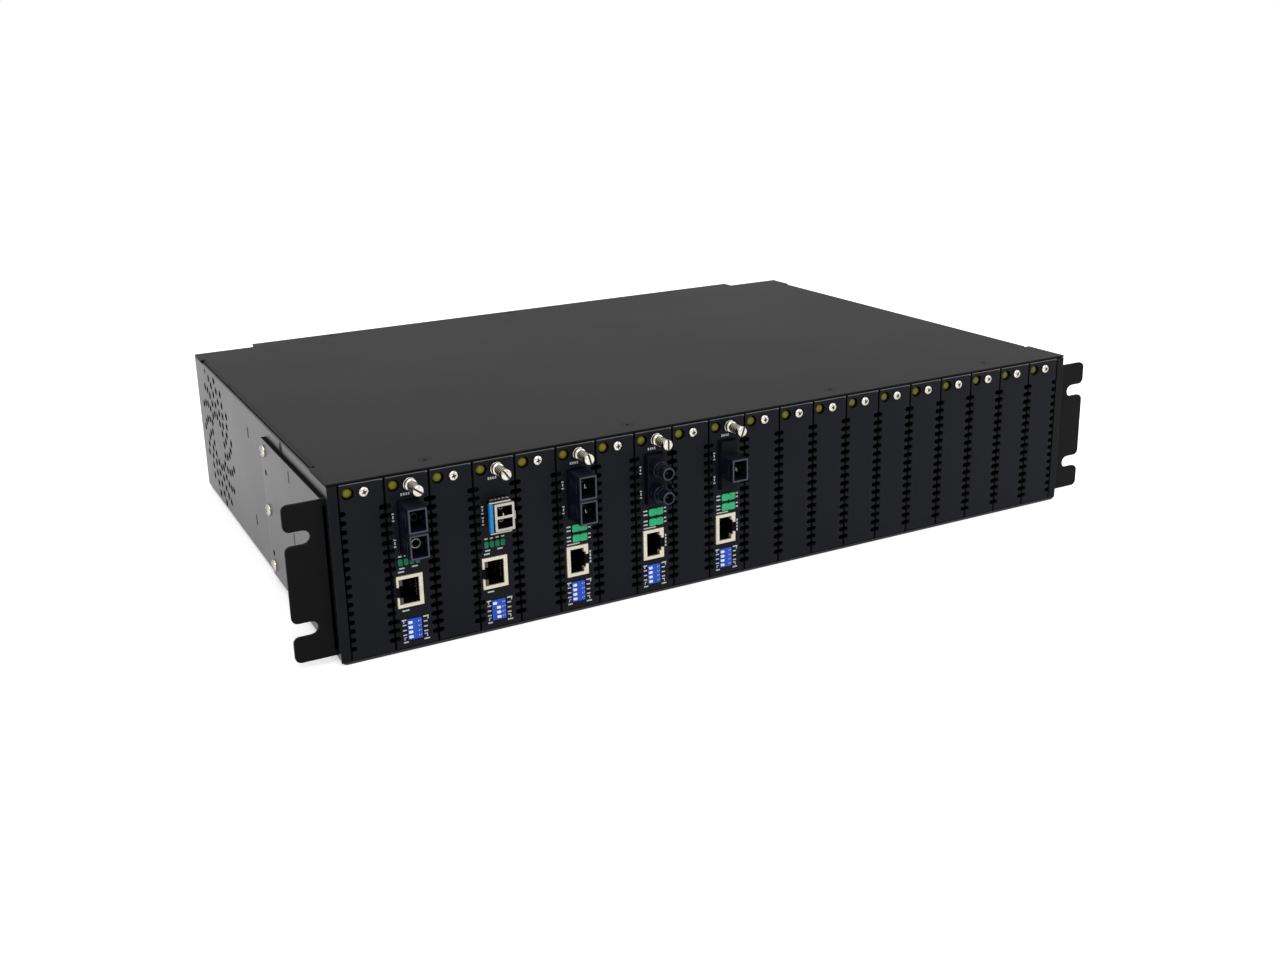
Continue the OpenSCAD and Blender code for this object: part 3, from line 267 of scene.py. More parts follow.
COVER_COAT = Finish("cover_coat", "steel_black", (0.012, 0.012, 0.0125),
                    (0.020, 0.020, 0.0205), 0.51, 0.10, specular=0.05, grain_scale=1300,
                    patch_scale=9, relief=0.035)
BODY_COAT = Finish("body_coat", "steel_black", (0.009, 0.009, 0.0098), (0.014, 0.014, 0.015),
                   0.36, 0.10, specular=0.32, grain_scale=1300, patch_scale=14, relief=0.03)
# Painted shade: a darker, duller copy of the body coat for the tray's front band.
BAND_SHADE_COAT = Finish("band_painted_shade_coat", "steel_black", (0.0062, 0.0068, 0.0082),
                   (0.0105, 0.0112, 0.0130), 0.46, 0.12, specular=0.05, grain_scale=1400,
                   patch_scale=30, relief=0.03)
# Painted light and shade: one black paint for the whole ear, darker and duller on the face and
# lighter and glossier on the leg.
SHADED_EAR_COAT = Finish("ear_face_painted_shade", "ear_black", (0.0045, 0.0045, 0.005), (0.008, 0.008, 0.009),
                  0.44, 0.10, specular=0.04, grain_scale=1400, patch_scale=20, relief=0.03)
LIT_LEG_COAT = Finish("ear_leg_painted_light", "ear_black", (0.007, 0.007, 0.0075), (0.011, 0.011, 0.012),
                  0.34, 0.10, specular=0.30, grain_scale=1400, patch_scale=20, relief=0.025)
# Painted highlight: a light grey for the rounded top edges of the plates.
HIGHLIGHT_COAT = Finish("plate_painted_highlight", "plate_black", (0.075, 0.078, 0.082), (0.13, 0.133, 0.137), 0.4,
                   0.12, specular=0.4, grain_scale=900, patch_scale=60, relief=0.01)
PLATE_COAT = Finish("plate_coat", "plate_black", (0.0068, 0.0072, 0.0098),
                    (0.0115, 0.012, 0.0155), 0.46, 0.12, specular=0.06, grain_scale=1500,
                    patch_scale=25, relief=0.03)
# Black of the card cage plate, also used for strips and liners of painted shade.
CAGE_COAT_AND_SHADE = Finish("cage_coat_and_painted_shade", "steel_black", (0.002, 0.002, 0.002), (0.004, 0.004, 0.004),
                   0.7, 0.1, specular=0.05, grain_scale=1200, relief=0.03)
NICKEL = Finish("nickel_plate", "nickel", (0.80, 0.77, 0.70), (0.50, 0.46, 0.38), 0.18, 0.14,
                1.0, grain_scale=500, relief=0.006, edge=0.9, brushed=True)
BARREL = Finish("ringed_nickel", "nickel", (0.62, 0.58, 0.50), (0.34, 0.30, 0.24), 0.22, 0.16,
                1.0, grain_scale=600, relief=0.006, edge=0.9, brushed=True)
# Painted shade: dark metal for the floors of screw recesses and the grooves of the thumbscrews.
GROOVE_SHADE = Finish("painted_groove_shade", "nickel", (0.030, 0.025, 0.018), (0.065, 0.055, 0.040), 0.45,
                0.12, 0.6, grain_scale=600, relief=0.006, brushed=True)
AMBER = Finish("amber_resin", "amber_lens", (0.240, 0.222, 0.018), (0.095, 0.094, 0.008), 0.40,
               0.08, specular=0.15, grain_scale=420, patch_scale=260, patch=0.9, relief=0.02,
               edge=0.9)
BOARD = Finish("board_lacquer", "board_green", (0.003, 0.016, 0.008), (0.006, 0.028, 0.013),
               0.45, 0.1, specular=0.15, grain_scale=500, patch_scale=60, relief=0.03)
LIGHT_ROW = Finish("dark_green_lens", "board_green", (0.006, 0.105, 0.045),
                   (0.016, 0.19, 0.085), 0.30, 0.08, specular=0.15, grain_scale=900,
                   patch_scale=400, patch=1.0, relief=0.02, edge=0.3)
LIGHT_BLOCK = Finish("green_lens", "board_green", (0.022, 0.40, 0.145), (0.05, 0.50, 0.22),
                     0.34, 0.08, specular=0.15, grain_scale=700, patch_scale=300, patch=1.0,
                     relief=0.02, edge=0.2)
SMOKE = Finish("smoked_window", "shield_metal", (0.009, 0.008, 0.006), (0.055, 0.048, 0.038),
               0.35, 0.1, grain_scale=1400, patch_scale=900, patch=1.0, relief=0.02)
GUIDE = Finish("guide_nylon", "guide_plastic", (0.012, 0.012, 0.013), (0.02, 0.02, 0.022), 0.6)
SOCKET = Finish("socket_nylon", "socket_plastic", (0.014, 0.014, 0.016),
                (0.024, 0.024, 0.027), 0.5)
FAN = Finish("fan_nylon", "fan_plastic", (0.003, 0.003, 0.0035), (0.006, 0.006, 0.007), 0.6,
             0.1, specular=0.06, grain_scale=900, relief=0.03)
PORT_BASE = Finish("base_plastic", "port_plastic", (0.0035, 0.004, 0.0065),
                   (0.007, 0.0075, 0.0115), 0.5, 0.12, specular=0.06, grain_scale=1100,
                   patch_scale=70, relief=0.02)
NAVY = Finish("navy_plastic", "port_plastic", (0.004, 0.0047, 0.0095), (0.008, 0.0094, 0.0165),
              0.34, 0.12, specular=0.14, grain_scale=1100, patch_scale=70, relief=0.02)
# Painted highlight: a lighter copy of the navy port plastic for the port rims.
NAVY_HIGHLIGHT = Finish("navy_painted_highlight", "port_plastic", (0.040, 0.044, 0.062), (0.070, 0.076, 0.098), 0.38,
                  0.12, specular=0.25, grain_scale=900, patch_scale=90, relief=0.02)
# Black plastic of the linings, also used as painted shade beside the plate seams.
DARK_PLASTIC_AND_SHADE = Finish("dark_plastic_and_painted_shade", "inlet_plastic", (0.0015, 0.0015, 0.0018),
                (0.003, 0.003, 0.0032), 0.6, 0.1, specular=0.05, grain_scale=900, relief=0.03)
SHIELD = Finish("cream_shield", "shield_metal", (0.74, 0.69, 0.57), (0.58, 0.53, 0.42), 0.44,
                0.12, 0.5, grain_scale=260, relief=0.008, edge=0.25, brushed=True)
STEEL = Finish("cage_sheet", "cage_steel", (0.56, 0.54, 0.49), (0.22, 0.20, 0.17), 0.24, 0.16,
               0.95, grain_scale=300, relief=0.008, edge=0.7, brushed=True)
GOLD = Finish("gold_contact", "shield_metal", (0.80, 0.58, 0.22), (0.62, 0.42, 0.14), 0.25, 0.1,
              1.0, grain_scale=600, relief=0.005, brushed=True)
CERAMIC = Finish("white_ferrule", "lever_plastic", (0.80, 0.80, 0.80), (0.70, 0.70, 0.72), 0.22,
                 0.08, grain_scale=900, relief=0.01)
BLUE = Finish("switch_blue", "switch_plastic", (0.012, 0.060, 0.46), (0.035, 0.12, 0.66), 0.34,
              0.1, specular=0.25, grain_scale=900, patch_scale=160, relief=0.02)
WHITE = Finish("lever_white", "lever_plastic", (0.85, 0.87, 0.90), (0.72, 0.75, 0.82), 0.28,
               0.08, grain_scale=900, patch_scale=200, relief=0.015)
BAIL = Finish("bail_enamel", "bail_blue", (0.014, 0.210, 0.54), (0.030, 0.29, 0.66), 0.40, 0.1,
              specular=0.15, grain_scale=900, patch_scale=160, relief=0.02)
SUPPLY = Finish("zinc_sheet", "supply_steel", (0.46, 0.47, 0.48), (0.34, 0.35, 0.36), 0.36,
                0.14, 0.9, grain_scale=260, relief=0.01, brushed=True)
INLET = Finish("inlet_moulding", "inlet_plastic", (0.012, 0.012, 0.013), (0.022, 0.022, 0.024),
               0.36, 0.1, grain_scale=800, patch_scale=60, relief=0.03)
INK = Finish("white_ink", "lever_plastic", (0.58, 0.60, 0.62), (0.36, 0.38, 0.40), 0.5, 0.1,
             grain_scale=1600, patch_scale=900, patch=1.0, relief=0.01)


# Forms


def placed(name: str, data: bpy.types.ID) -> bpy.types.Object:
    """A new object in the scene."""
    made = bpy.data.objects.new(name, data)
    bpy.context.scene.collection.objects.link(made)
    return made


def circle(x: float, y: float, r: float, steps: int = 32) -> Outline:
    """Points of a circle round (x, y)."""
    return [(x + r * math.cos(a), y + r * math.sin(a))
            for a in (2 * math.pi * i / steps for i in range(steps))]


def rectangle(x0: float, y0: float, x1: float, y1: float, r: float = 0.0,
              steps: int = 4) -> Outline:
    """Points of a rectangle, with round corners where r is given."""
    if r <= 0:
        return [(x0, y0), (x1, y0), (x1, y1), (x0, y1)]
    points: Outline = []
    for cx, cy, start in ((x1 - r, y0 + r, -90), (x1 - r, y1 - r, 0), (x0 + r, y1 - r, 90),
                          (x0 + r, y0 + r, 180)):
        for i in range(steps + 1):
            a = math.radians(start + 90 * i / steps)
            points.append((cx + r * math.cos(a), cy + r * math.sin(a)))
    return points


def around(x: float, y: float, half_w: float, half_h: float, r: float = 0.0) -> Outline:
    """Points of a rectangle with its middle at (x, y)."""
    return rectangle(x - half_w, y - half_h, x + half_w, y + half_h, r)


def mirrored(outline: Outline) -> Outline:
    """The outline mirrored left to right."""
    return [(-x, y) for x, y in reversed(outline)]


def area(loop: Outline) -> float:
    """Signed area of an outline."""
    return sum(a[0] * b[1] - b[0] * a[1] for a, b in zip(loop, loop[1:] + loop[:1])) / 2


def inset(loop: Outline, distance: float) -> Outline:
    """Moves an outline's sides towards its inside by a distance, with mitred corners."""
    if distance == 0:
        return list(loop)
    sign = distance if area(loop) > 0 else -distance
    moved: Outline = []
    for (ax, ay), (bx, by), (cx, cy) in zip(loop[-1:] + loop[:-1], loop, loop[1:] + loop[:1]):
        ux, uy = bx - ax, by - ay
        vx, vy = cx - bx, cy - by
        lu, lv = math.hypot(ux, uy) or 1.0, math.hypot(vx, vy) or 1.0
        nx, ny = -uy / lu - vy / lv, ux / lu + vx / lv
        scale = sign * 2 / max(nx * nx + ny * ny, MITRE_LIMIT)
        moved.append((bx + nx * scale, by + ny * scale))
    return moved


def inside(x: float, y: float, loops: Sequence[Outline]) -> bool:
    """Whether a point lies in the outer outline and in none of the holes."""
    found = False
    for loop in loops:
        for (ax, ay), (bx, by) in zip(loop, loop[1:] + loop[:1]):
            if (ay > y) != (by > y) and x < (bx - ax) * (y - ay) / (by - ay) + ax:
                found = not found
    return found


def fill(loops: Sequence[Outline]) -> list[tuple[int, int, int]]:
    """Triangles that fill an outline around its holes, as indices of its points in order."""
    points = [Vector(p) for loop in loops for p in loop]
    edges: list[tuple[int, int]] = []
    start = 0
    for loop in loops:
        count = len(loop)
        edges += [(start + i, start + (i + 1) % count) for i in range(count)]
        start += count
    made, _, faces, origin, _, _ = delaunay_2d_cdt(points, edges, [], 0, 1e-6)
    triangles = []
    for face in faces:
        x = sum(made[i].x for i in face) / 3
        y = sum(made[i].y for i in face) / 3
        first = [origin[i][0] for i in face if origin[i]]
        if len(set(first)) == 3 and inside(x, y, loops):
            triangles.append((first[0], first[1], first[2]))
    return triangles


class Form:
    """A mesh in the making, in millimetres, with the front plane at y = 0."""

    def __init__(self) -> None:
        """Starts an empty form."""
        self.mesh = bmesh.new()

    def _take(self, mesh: bpy.types.Mesh) -> None:
        """Adds a mesh and removes it from the file."""
        self.mesh.from_mesh(mesh)
        bpy.data.meshes.remove(mesh)

    def add(self, other: "Form", *moves: Matrix) -> "Form":
        """Adds copies of another form, one for each move.

        Args:
            other: The form to copy.
            moves: Where each copy goes; none means one copy in place.

        Returns:
            This form.
        """
        for move in moves or (HERE,):
            mesh = bpy.data.meshes.new("copy")
            other.mesh.to_mesh(mesh)
            mesh.transform(move)
            self._take(mesh)
        return self

    def box(self, low: Point, high: Point, soft: float = 0.0) -> "Form":
        """Adds a box between two corners, with its edges rounded by soft."""
        part = bmesh.new()
        bmesh.ops.create_cube(part, size=1.0)
        low_v, high_v = Vector(low), Vector(high)
        size = high_v - low_v
        for v in part.verts:
            v.co = low_v + Vector((size[i] * (v.co[i] + 0.5) for i in range(3)))
        if soft > 0:
            bmesh.ops.bevel(part, geom=part.edges[:], offset=min(soft, min(size) * ROUND_SHARE),
                            segments=2, profile=0.5, affect="EDGES", clamp_overlap=True)
        mesh = bpy.data.meshes.new("box")
        part.to_mesh(mesh)
        part.free()
        self._take(mesh)
        return self

    def lathe(self, profile: Sequence[tuple[float, float]], at: Point = (0, 0, 0),
              axis: Axis = Axis.Y, steps: int = 36) -> "Form":
        """Adds a turned form.

        Args:
            profile: Pairs of distance along the axis and radius, from one end to the other.
            at: The point on the axis where the distance is zero.
            axis: The direction of the axis.
            steps: The number of sides.

        Returns:
            This form.
        """
        rings: list[list[bmesh.types.BMVert]] = []
        for along, radius in profile:
            count = 1 if radius <= 0 else steps
            ring = []
            for i in range(count):
                a = 2 * math.pi * i / steps
                u, v = radius * math.cos(a), radius * math.sin(a)
                local = {Axis.X: (along, u, v), Axis.Y: (v, along, u), Axis.Z: (u, v, along)}[axis]
                ring.append(self.mesh.verts.new(Vector(at) + Vector(local)))
            rings.append(ring)
        for a_ring, b_ring in zip(rings, rings[1:]):
            for i in range(steps):
                j = (i + 1) % steps
                quad = [a_ring[i % len(a_ring)], a_ring[j % len(a_ring)],
                        b_ring[j % len(b_ring)], b_ring[i % len(b_ring)]]
                unique = list(dict.fromkeys(quad))
                if len(unique) > 2:
                    self.mesh.faces.new(unique)
        return self

    def sheet(self, loops: Sequence[Outline], near: float, far: float,
              plane: Plane = Plane.FRONT, soft: float = 0.2, steps: int = 2) -> "Form":
        """Adds a flat plate cut from outlines, with its edges rounded.

        Args:
            loops: The outer outline, then the holes.
            near: Lowest coordinate across the plate.
            far: Highest coordinate across the plate.
            plane: The plane of the outlines.
            soft: Radius of the rounded edges.
            steps: Number of faces in each rounded edge.

        Returns:
            This form.
        """
        place = {Plane.FRONT: lambda a, b, c: (a, c, b), Plane.SIDE: lambda a, b, c: (c, a, b),
                 Plane.TOP: lambda a, b, c: (a, b, c)}[plane]
        levels = [(soft, 0.0)] if soft <= 0 else [
            (soft * (1 - math.sin(math.radians(90 * k / steps))),
             soft * (1 - math.cos(math.radians(90 * k / steps)))) for k in range(steps + 1)]
        levels = [(inner, near + deep) for inner, deep in levels] + [
            (inner, far - deep) for inner, deep in reversed(levels)]
        caps: list[list[list[bmesh.types.BMVert]]] = [[], []]
        flats: list[Outline] = []
        for number, loop in enumerate(loops):
            rings = []
            for inner, height in levels:
                ring = inset(loop, inner if number == 0 else -inner)
                rings.append([self.mesh.verts.new(place(x, y, height)) for x, y in ring])
            flats.append(inset(loop, soft if number == 0 else -soft))
            caps[0].append(rings[0])
            caps[1].append(rings[-1])
            for low, high in zip(rings, rings[1:]):
                for k in range(len(low)):
                    n = (k + 1) % len(low)
                    self.mesh.faces.new((low[k], low[n], high[n], high[k]))
        for cap in caps:
            flat = [vert for ring in cap for vert in ring]
            for triangle in fill(flats):
                self.mesh.faces.new([flat[k] for k in triangle])
        return self

    def cut(self, cutter: "Form") -> "Form":
        """Takes another form's volume out of this one."""
        holders = []
        for form in (self, cutter):
            bmesh.ops.recalc_face_normals(form.mesh, faces=form.mesh.faces[:])
            mesh = bpy.data.meshes.new("cut")
            form.mesh.to_mesh(mesh)
            holders.append(placed("cut", mesh))
        change = holders[0].modifiers.new("cut", "BOOLEAN")
        change.object, change.operation, change.solver = holders[1], "DIFFERENCE", "EXACT"
        made = bpy.data.meshes.new_from_object(
            holders[0].evaluated_get(bpy.context.evaluated_depsgraph_get()))
        self.mesh.clear()
        self._take(made)
        for holder in holders:
            mesh = holder.data
            bpy.data.objects.remove(holder)
            bpy.data.meshes.remove(mesh)
        return self

    def piece(self, name: str, finish: Finish, body: str, *nodes: str) -> None:
        """Makes the form a piece of the scene.

        Args:
            name: Name of the piece.
            finish: Its finish.
            body: The CAD body that it rides on.
            nodes: The CAD nodes that it stands for.
        """
        mesh = bpy.data.meshes.new(name)
        bmesh.ops.remove_doubles(self.mesh, verts=self.mesh.verts[:], dist=MERGE)
        bmesh.ops.recalc_face_normals(self.mesh, faces=self.mesh.faces[:])
        self.mesh.to_mesh(mesh)
        mesh.transform(Matrix.Translation((0, FRONT * MM, 0)) @ Matrix.Scale(MM, 4))
        mesh.shade_smooth()
        mesh.set_sharp_from_angle(angle=math.radians(SHARP))
        mesh.materials.append(finish.material())
        made = placed(name, mesh)
        even = made.modifiers.new("even", "WEIGHTED_NORMAL")
        even.keep_sharp, even.weight = True, FACE_WEIGHT
        flat = bpy.data.meshes.new_from_object(
            made.evaluated_get(bpy.context.evaluated_depsgraph_get()))
        made.modifiers.clear()
        made.data = flat
        bpy.data.meshes.remove(mesh)
        flat.name = name
        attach(made, body)
        if nodes:
            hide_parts(*nodes)
        LOG.info("%s: %d faces on %s", name, len(flat.polygons), body)


def shift(x: float = 0.0, y: float = 0.0, z: float = 0.0) -> Matrix:
    """A move by millimetres."""
    return Matrix.Translation((x, y, z))


def turned(degrees: float, axis: str = "Y") -> Matrix:
    """A turn about an axis through the origin."""
    return Matrix.Rotation(math.radians(degrees), 4, axis)


HERE = Matrix.Identity(4)
MIRROR = Matrix.Scale(-1, 4, Vector((1, 0, 0)))


def cross_recess(head: Form, mouth: float, radius: float, depth: float, width: float,
                 start: float = 0.0) -> Form:
    """Cuts a cross recess into a head.

    Args:
        head: The head, which faces -Y.
        mouth: The height of the recess's mouth on Y.
        radius: Half the length of an arm.
        depth: Depth of the recess.
        width: Width of an arm.
        start: Angle of the first arm in degrees.

    Returns:
        The head.
    """
    for turn in (start, start + 90.0):
        arm = Form().box((-radius, -1.0, -width / 2), (radius, depth, width / 2))
        for v in arm.mesh.verts:
            if v.co.y > 0:
                v.co.x *= 0.35
        head.cut(Form().add(arm, shift(y=mouth) @ turned(turn)))
    return head


def pan_screw(radius: float, height: float, shank: float, shank_len: float) -> Form:
    """A pan head screw with a cross recess: its seat is at y = 0 and its head towards -Y."""
    crown = [(-height, 0.0), (-height * 0.99, radius * 0.45), (-height * 0.90, radius * 0.70),
             (-height * 0.66, radius * 0.90), (-height * 0.34, radius * 0.99),
             (-height * 0.08, radius), (0.0, radius * 0.96), (0.0, shank),
             (shank_len, shank), (shank_len + 0.4, shank * 0.7), (shank_len + 0.4, 0.0)]
    return cross_recess(Form().lathe(crown, steps=40), -height, radius * 0.72,
                        height * 0.66, radius * 0.32, RECESS_TURN)


def recess_shade(radius: float, height: float) -> Form:
    """Painted shade: a dark floor in a pan screw's cross recess."""
    form = Form()
    for turn in (RECESS_TURN, RECESS_TURN + 90.0):
        arm = Form().box((-radius * 0.56, -height * 0.66, -radius * 0.135),
                         (radius * 0.56, -height * 0.30, radius * 0.135), 0.03)
        form.add(arm, turned(turn))
    return form


def paint_nodes(finish: Finish, *names: str) -> None:
    """Gives CAD nodes that stay in view a finish."""
    for name in names:
        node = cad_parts[name]
        node.data.materials.clear()
        node.data.materials.append(finish.material())
        LOG.info("%s: finished as %s", name, finish.name)


# Body


@dataclass
class Body:
    """The sheet metal box: tray, cover, cover screws and the cage behind the plates."""

    half_width: float = 221.0
    depth: float = 300.0
    step_y: float = 309.0
    step_half: float = 182.0
    cover_low: float = 87.7
    cover_top: float = 88.9
    lip_x: float = 218.3
    lip_out: float = 219.5
    lip_low: float = 78.9
    lip_low_fan: float = 84.3
    fan_start: float = 207.5
    lip_start: float = 30.0
    lip_end: float = 279.0
    relief: float = 2.0
    relief_x: float = 217.8
    screw_r: float = 3.0
    screw_xs: tuple[float, ...] = (-170.2, -62.3, 62.3, 170.2)
    screw_y: float = 11.5
    rear_xs: tuple[float, ...] = (-130.8, 0.0, 130.8)
    rear_y: float = 304.0
    side_y: float = 82.0
    side_z: float = 84.0
    sheet: float = 1.2
    grille_r: float = 39.1
    grille_rings: tuple[float, ...] = (0.432, 0.597, 0.746, 0.877, 1.0)
    grille_arms: int = 15
    grille_start: float = 6.0
    grille_turn: float = 7.6
    grille_hole_r: float = 2.05
    # Sizes of the painted shade in and round the grille holes.
    shade_wall: float = 0.08
    shade_skin: float = 0.03
    shade_rim: float = 0.4
    slit_start: float = 157.6
    slit_end: float = 159.5
    slit_half: float = 3.1
    slit_zs: tuple[float, ...] = (21.7, 72.9)
    band_w: float = 4.6
    band_low: float = 1.0
    band_high: float = 87.4

    def cover(self) -> None:
        """The top cover with its countersunk holes, relief notches and side lips, and a black
        strip of painted shade on its front edge.
        """
        right: Outline = [
            (self.half_width, 0), (self.half_width, self.lip_start - self.relief),
            (self.relief_x, self.lip_start - self.relief), (self.relief_x, self.lip_start),
            (self.lip_x, self.lip_start), (self.lip_x, self.lip_end),
            (self.relief_x, self.lip_end), (self.relief_x, self.lip_end + self.relief),
            (self.half_width, self.lip_end + self.relief), (self.half_width, self.depth),
            (self.step_half, self.depth), (self.step_half, self.step_y)]
        outline = right + mirrored(right)
        holes = [circle(x, self.screw_y, self.screw_r) for x in self.screw_xs]
        holes += [circle(x, self.rear_y, self.screw_r) for x in self.rear_xs]
        form = Form().sheet([outline, *holes], self.cover_low, self.cover_top, Plane.TOP,
                            soft=0.3, steps=2)
        r = self.lip_out - self.lip_x
        arc = [(-self.lip_x - r * math.sin(math.radians(a)),
                self.cover_low + r * math.cos(math.radians(a))) for a in range(0, 91, 15)]
        for low, start, end in ((self.lip_low, self.lip_start, self.fan_start),
                                (self.lip_low_fan, self.fan_start, self.lip_end)):
            lip = [*arc, (-self.lip_out, low), (-self.lip_x, low)]
            for loop in (lip, mirrored(lip)):
                form.sheet([loop], start, end, soft=0.0)
        form.piece("top_cover_sheet", COVER_COAT, "chassis", "top_cover")
        # Painted shade: a black strip on the cover's front edge, for the dark gap above the
        # plates.
        Form().box((-self.half_width + 0.3, -0.02, self.cover_low + 0.02),
                   (self.half_width - 0.3, 0.1, self.cover_top - 0.32)).piece(
                       "cover_front_shade", CAGE_COAT_AND_SHADE, "chassis")

    def screws(self) -> None:
        """Black countersunk cover screws, each in a shallow dish."""
        flat = Form().lathe([(-0.06, 0.0), (-0.06, self.screw_r * 0.86),
                             (-0.01, self.screw_r * 0.97), (1.2, 1.5), (2.9, 1.4),
                             (3.0, 0.0)])
        cross_recess(flat, -0.1, 1.9, 1.2, 0.75)
        spots = [(x, self.screw_y) for x in self.screw_xs]
        spots += [(x, self.rear_y) for x in self.rear_xs]
        form = Form().add(flat, *(shift(x, y, self.cover_top - 0.1) @ turned(-90, "X")
                                  for x, y in spots))
        at_side = shift(-self.half_width, self.side_y, self.side_z) @ turned(-90, "Z")
        form.add(flat, at_side, MIRROR @ at_side)
        form.piece("cover_screw_set", COVER_COAT, "chassis", "cover_screws")

    def grille_shade(self) -> None:
        """Painted shade: dark liners and rims in the grille holes round the fans, and dark strips
        over the slits beside them.
        """
        low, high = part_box("left_fan_rotor")
        y, z = ((low[i] + high[i]) / 2 / MM for i in (1, 2))
        y -= FRONT
        r, skin = self.grille_hole_r, self.shade_skin
        wall, rim = r - self.shade_wall, r + self.shade_rim
        edge = Form()
        for arm in range(self.grille_arms):
            for ring, share in enumerate(self.grille_rings):
                a = math.radians(self.grille_start + 360 * arm / self.grille_arms
                                 - self.grille_turn * ring)
                at = (-self.half_width, y + self.grille_r * share * math.cos(a),
                      z + self.grille_r * share * math.sin(a))
                edge.lathe([(-skin, wall), (-skin, rim), (skin, rim), (skin, r),
                            (self.sheet - skin, r), (self.sheet - skin, wall),
                            (-skin, wall)], at, Axis.X, 16)
        for z_mid in self.slit_zs:
            edge.box((-self.half_width - skin, self.slit_start, z_mid - self.slit_half),
                     (-self.half_width + skin, self.slit_end, z_mid + self.slit_half))
        Form().add(edge, HERE, MIRROR).piece("grille_hole_shade", CAGE_COAT_AND_SHADE, "chassis")

    def dress(self) -> None:
        """Builds the cover and gives the sheet metal its coats."""
        self.cover()
        self.screws()
        self.grille_shade()
        # Painted shade: the front band of the tray gets a darker, duller copy of the body coat.
        band = Form().sheet([rectangle(self.half_width - self.band_w, self.band_low,
                                       self.half_width - 0.05, self.band_high, 0.3)],
                            -0.03, 0.6, soft=0.1)
        Form().add(band, HERE, MIRROR).piece("front_band_shade", BAND_SHADE_COAT, "chassis")
        paint_nodes(BODY_COAT, "chassis_tray")
        paint_nodes(CAGE_COAT_AND_SHADE, "card_cage_plate")


@dataclass
class Ears:
    """The two rack ears and their screws."""

    out_x: float = 241.3
    in_x: float = 221.0
    plate: float = 2.0
    low: float = 4.35
    high: float = 81.25
    front: float = 3.5
    leg_end: float = 120.0
    corner: float = 3.0
    slot_x: float = 232.55
    slot_r: float = 3.4
    slot_zs: tuple[float, ...] = (20.4, 64.85)
    screw_y: float = 114.0
    screw_zs: tuple[float, ...] = (10.42, 41.95, 74.64)
    head_r: float = 3.3
    head_h: float = 1.6
    pin_y: float = 113.0
    pin_zs: tuple[float, ...] = (17.96, 63.02)
    slit_y: float = 62.0
    slit_zs: tuple[float, ...] = (42.49, 74.71)

    def face_outline(self) -> Outline:
        """Outline of the right ear's face, with two open slots."""
        points: Outline = [(self.in_x, self.low)]
        r = self.corner

        def arc(cx: float, cy: float, radius: float, start: float, end: float) -> None:
            """Adds the points of an arc."""
            for i in range(7):
                a = math.radians(start + (end - start) * i / 6)
                points.append((cx + radius * math.cos(a), cy + radius * math.sin(a)))

        arc(self.out_x - r, self.low + r, r, -90, 0)
        for z in self.slot_zs:
            arc(self.out_x - r, z - self.slot_r - r, r, 0, 90)
            arc(self.slot_x, z, self.slot_r, 270, 90)
            arc(self.out_x - r, z + self.slot_r + r, r, -90, 0)
        arc(self.out_x - r, self.high - r, r, 0, 90)
        points.append((self.in_x, self.high))
        return points

    def dress(self) -> None:
        """Builds both ears and their pan head screws."""
        face = Form().sheet([self.face_outline()], self.front, self.front + self.plate,
                            soft=0.35, steps=2)
        leg = rectangle(self.front, self.low, self.leg_end, self.high, self.corner)
        holes = [circle(self.screw_y, z, 2.15, 24) for z in self.screw_zs]
        holes += [circle(self.pin_y, z, 1.6, 20) for z in self.pin_zs]
        holes += [rectangle(self.slit_y, z - 3, self.slit_y + 1.1, z + 3) for z in self.slit_zs]
        side = Form().sheet([leg, *holes], self.in_x, self.in_x + self.plate, Plane.SIDE,
                            soft=0.35, steps=2)
        # Painted shade: a black strip along the top edge of each ear's leg.
        top = Form().box((self.in_x + 0.1, self.front + 3, self.high - 0.3),
                         (self.in_x + self.plate - 0.1, self.leg_end - 3, self.high + 0.03))
        # The face takes the shaded copy and the leg the lit copy of the ear paint.
        for name, move in (("right", HERE), ("left", MIRROR)):
            Form().add(face, move).piece(f"{name}_ear_face", SHADED_EAR_COAT, "chassis",
                                         f"{name}_rack_ear")
            Form().add(side, move).piece(f"{name}_ear_leg", LIT_LEG_COAT, "chassis")
            Form().add(top, move).piece(f"{name}_ear_top_shade", CAGE_COAT_AND_SHADE, "chassis")
        screw = pan_screw(self.head_r, self.head_h, 2.0, 2.8)
        spots = [shift(-self.in_x - self.plate, self.screw_y, z) @ turned(-90, "Z")
                 for z in self.screw_zs]
        spots += [MIRROR @ spot for spot in spots]
        Form().add(screw, *spots).piece("ear_screw_set", NICKEL, "chassis", "ear_screws")
        # Painted shade in the screws' cross recesses.
        dark = recess_shade(self.head_r, self.head_h)
        Form().add(dark, *spots).piece("ear_screw_recess_shade", GROOVE_SHADE, "chassis")


# Slots


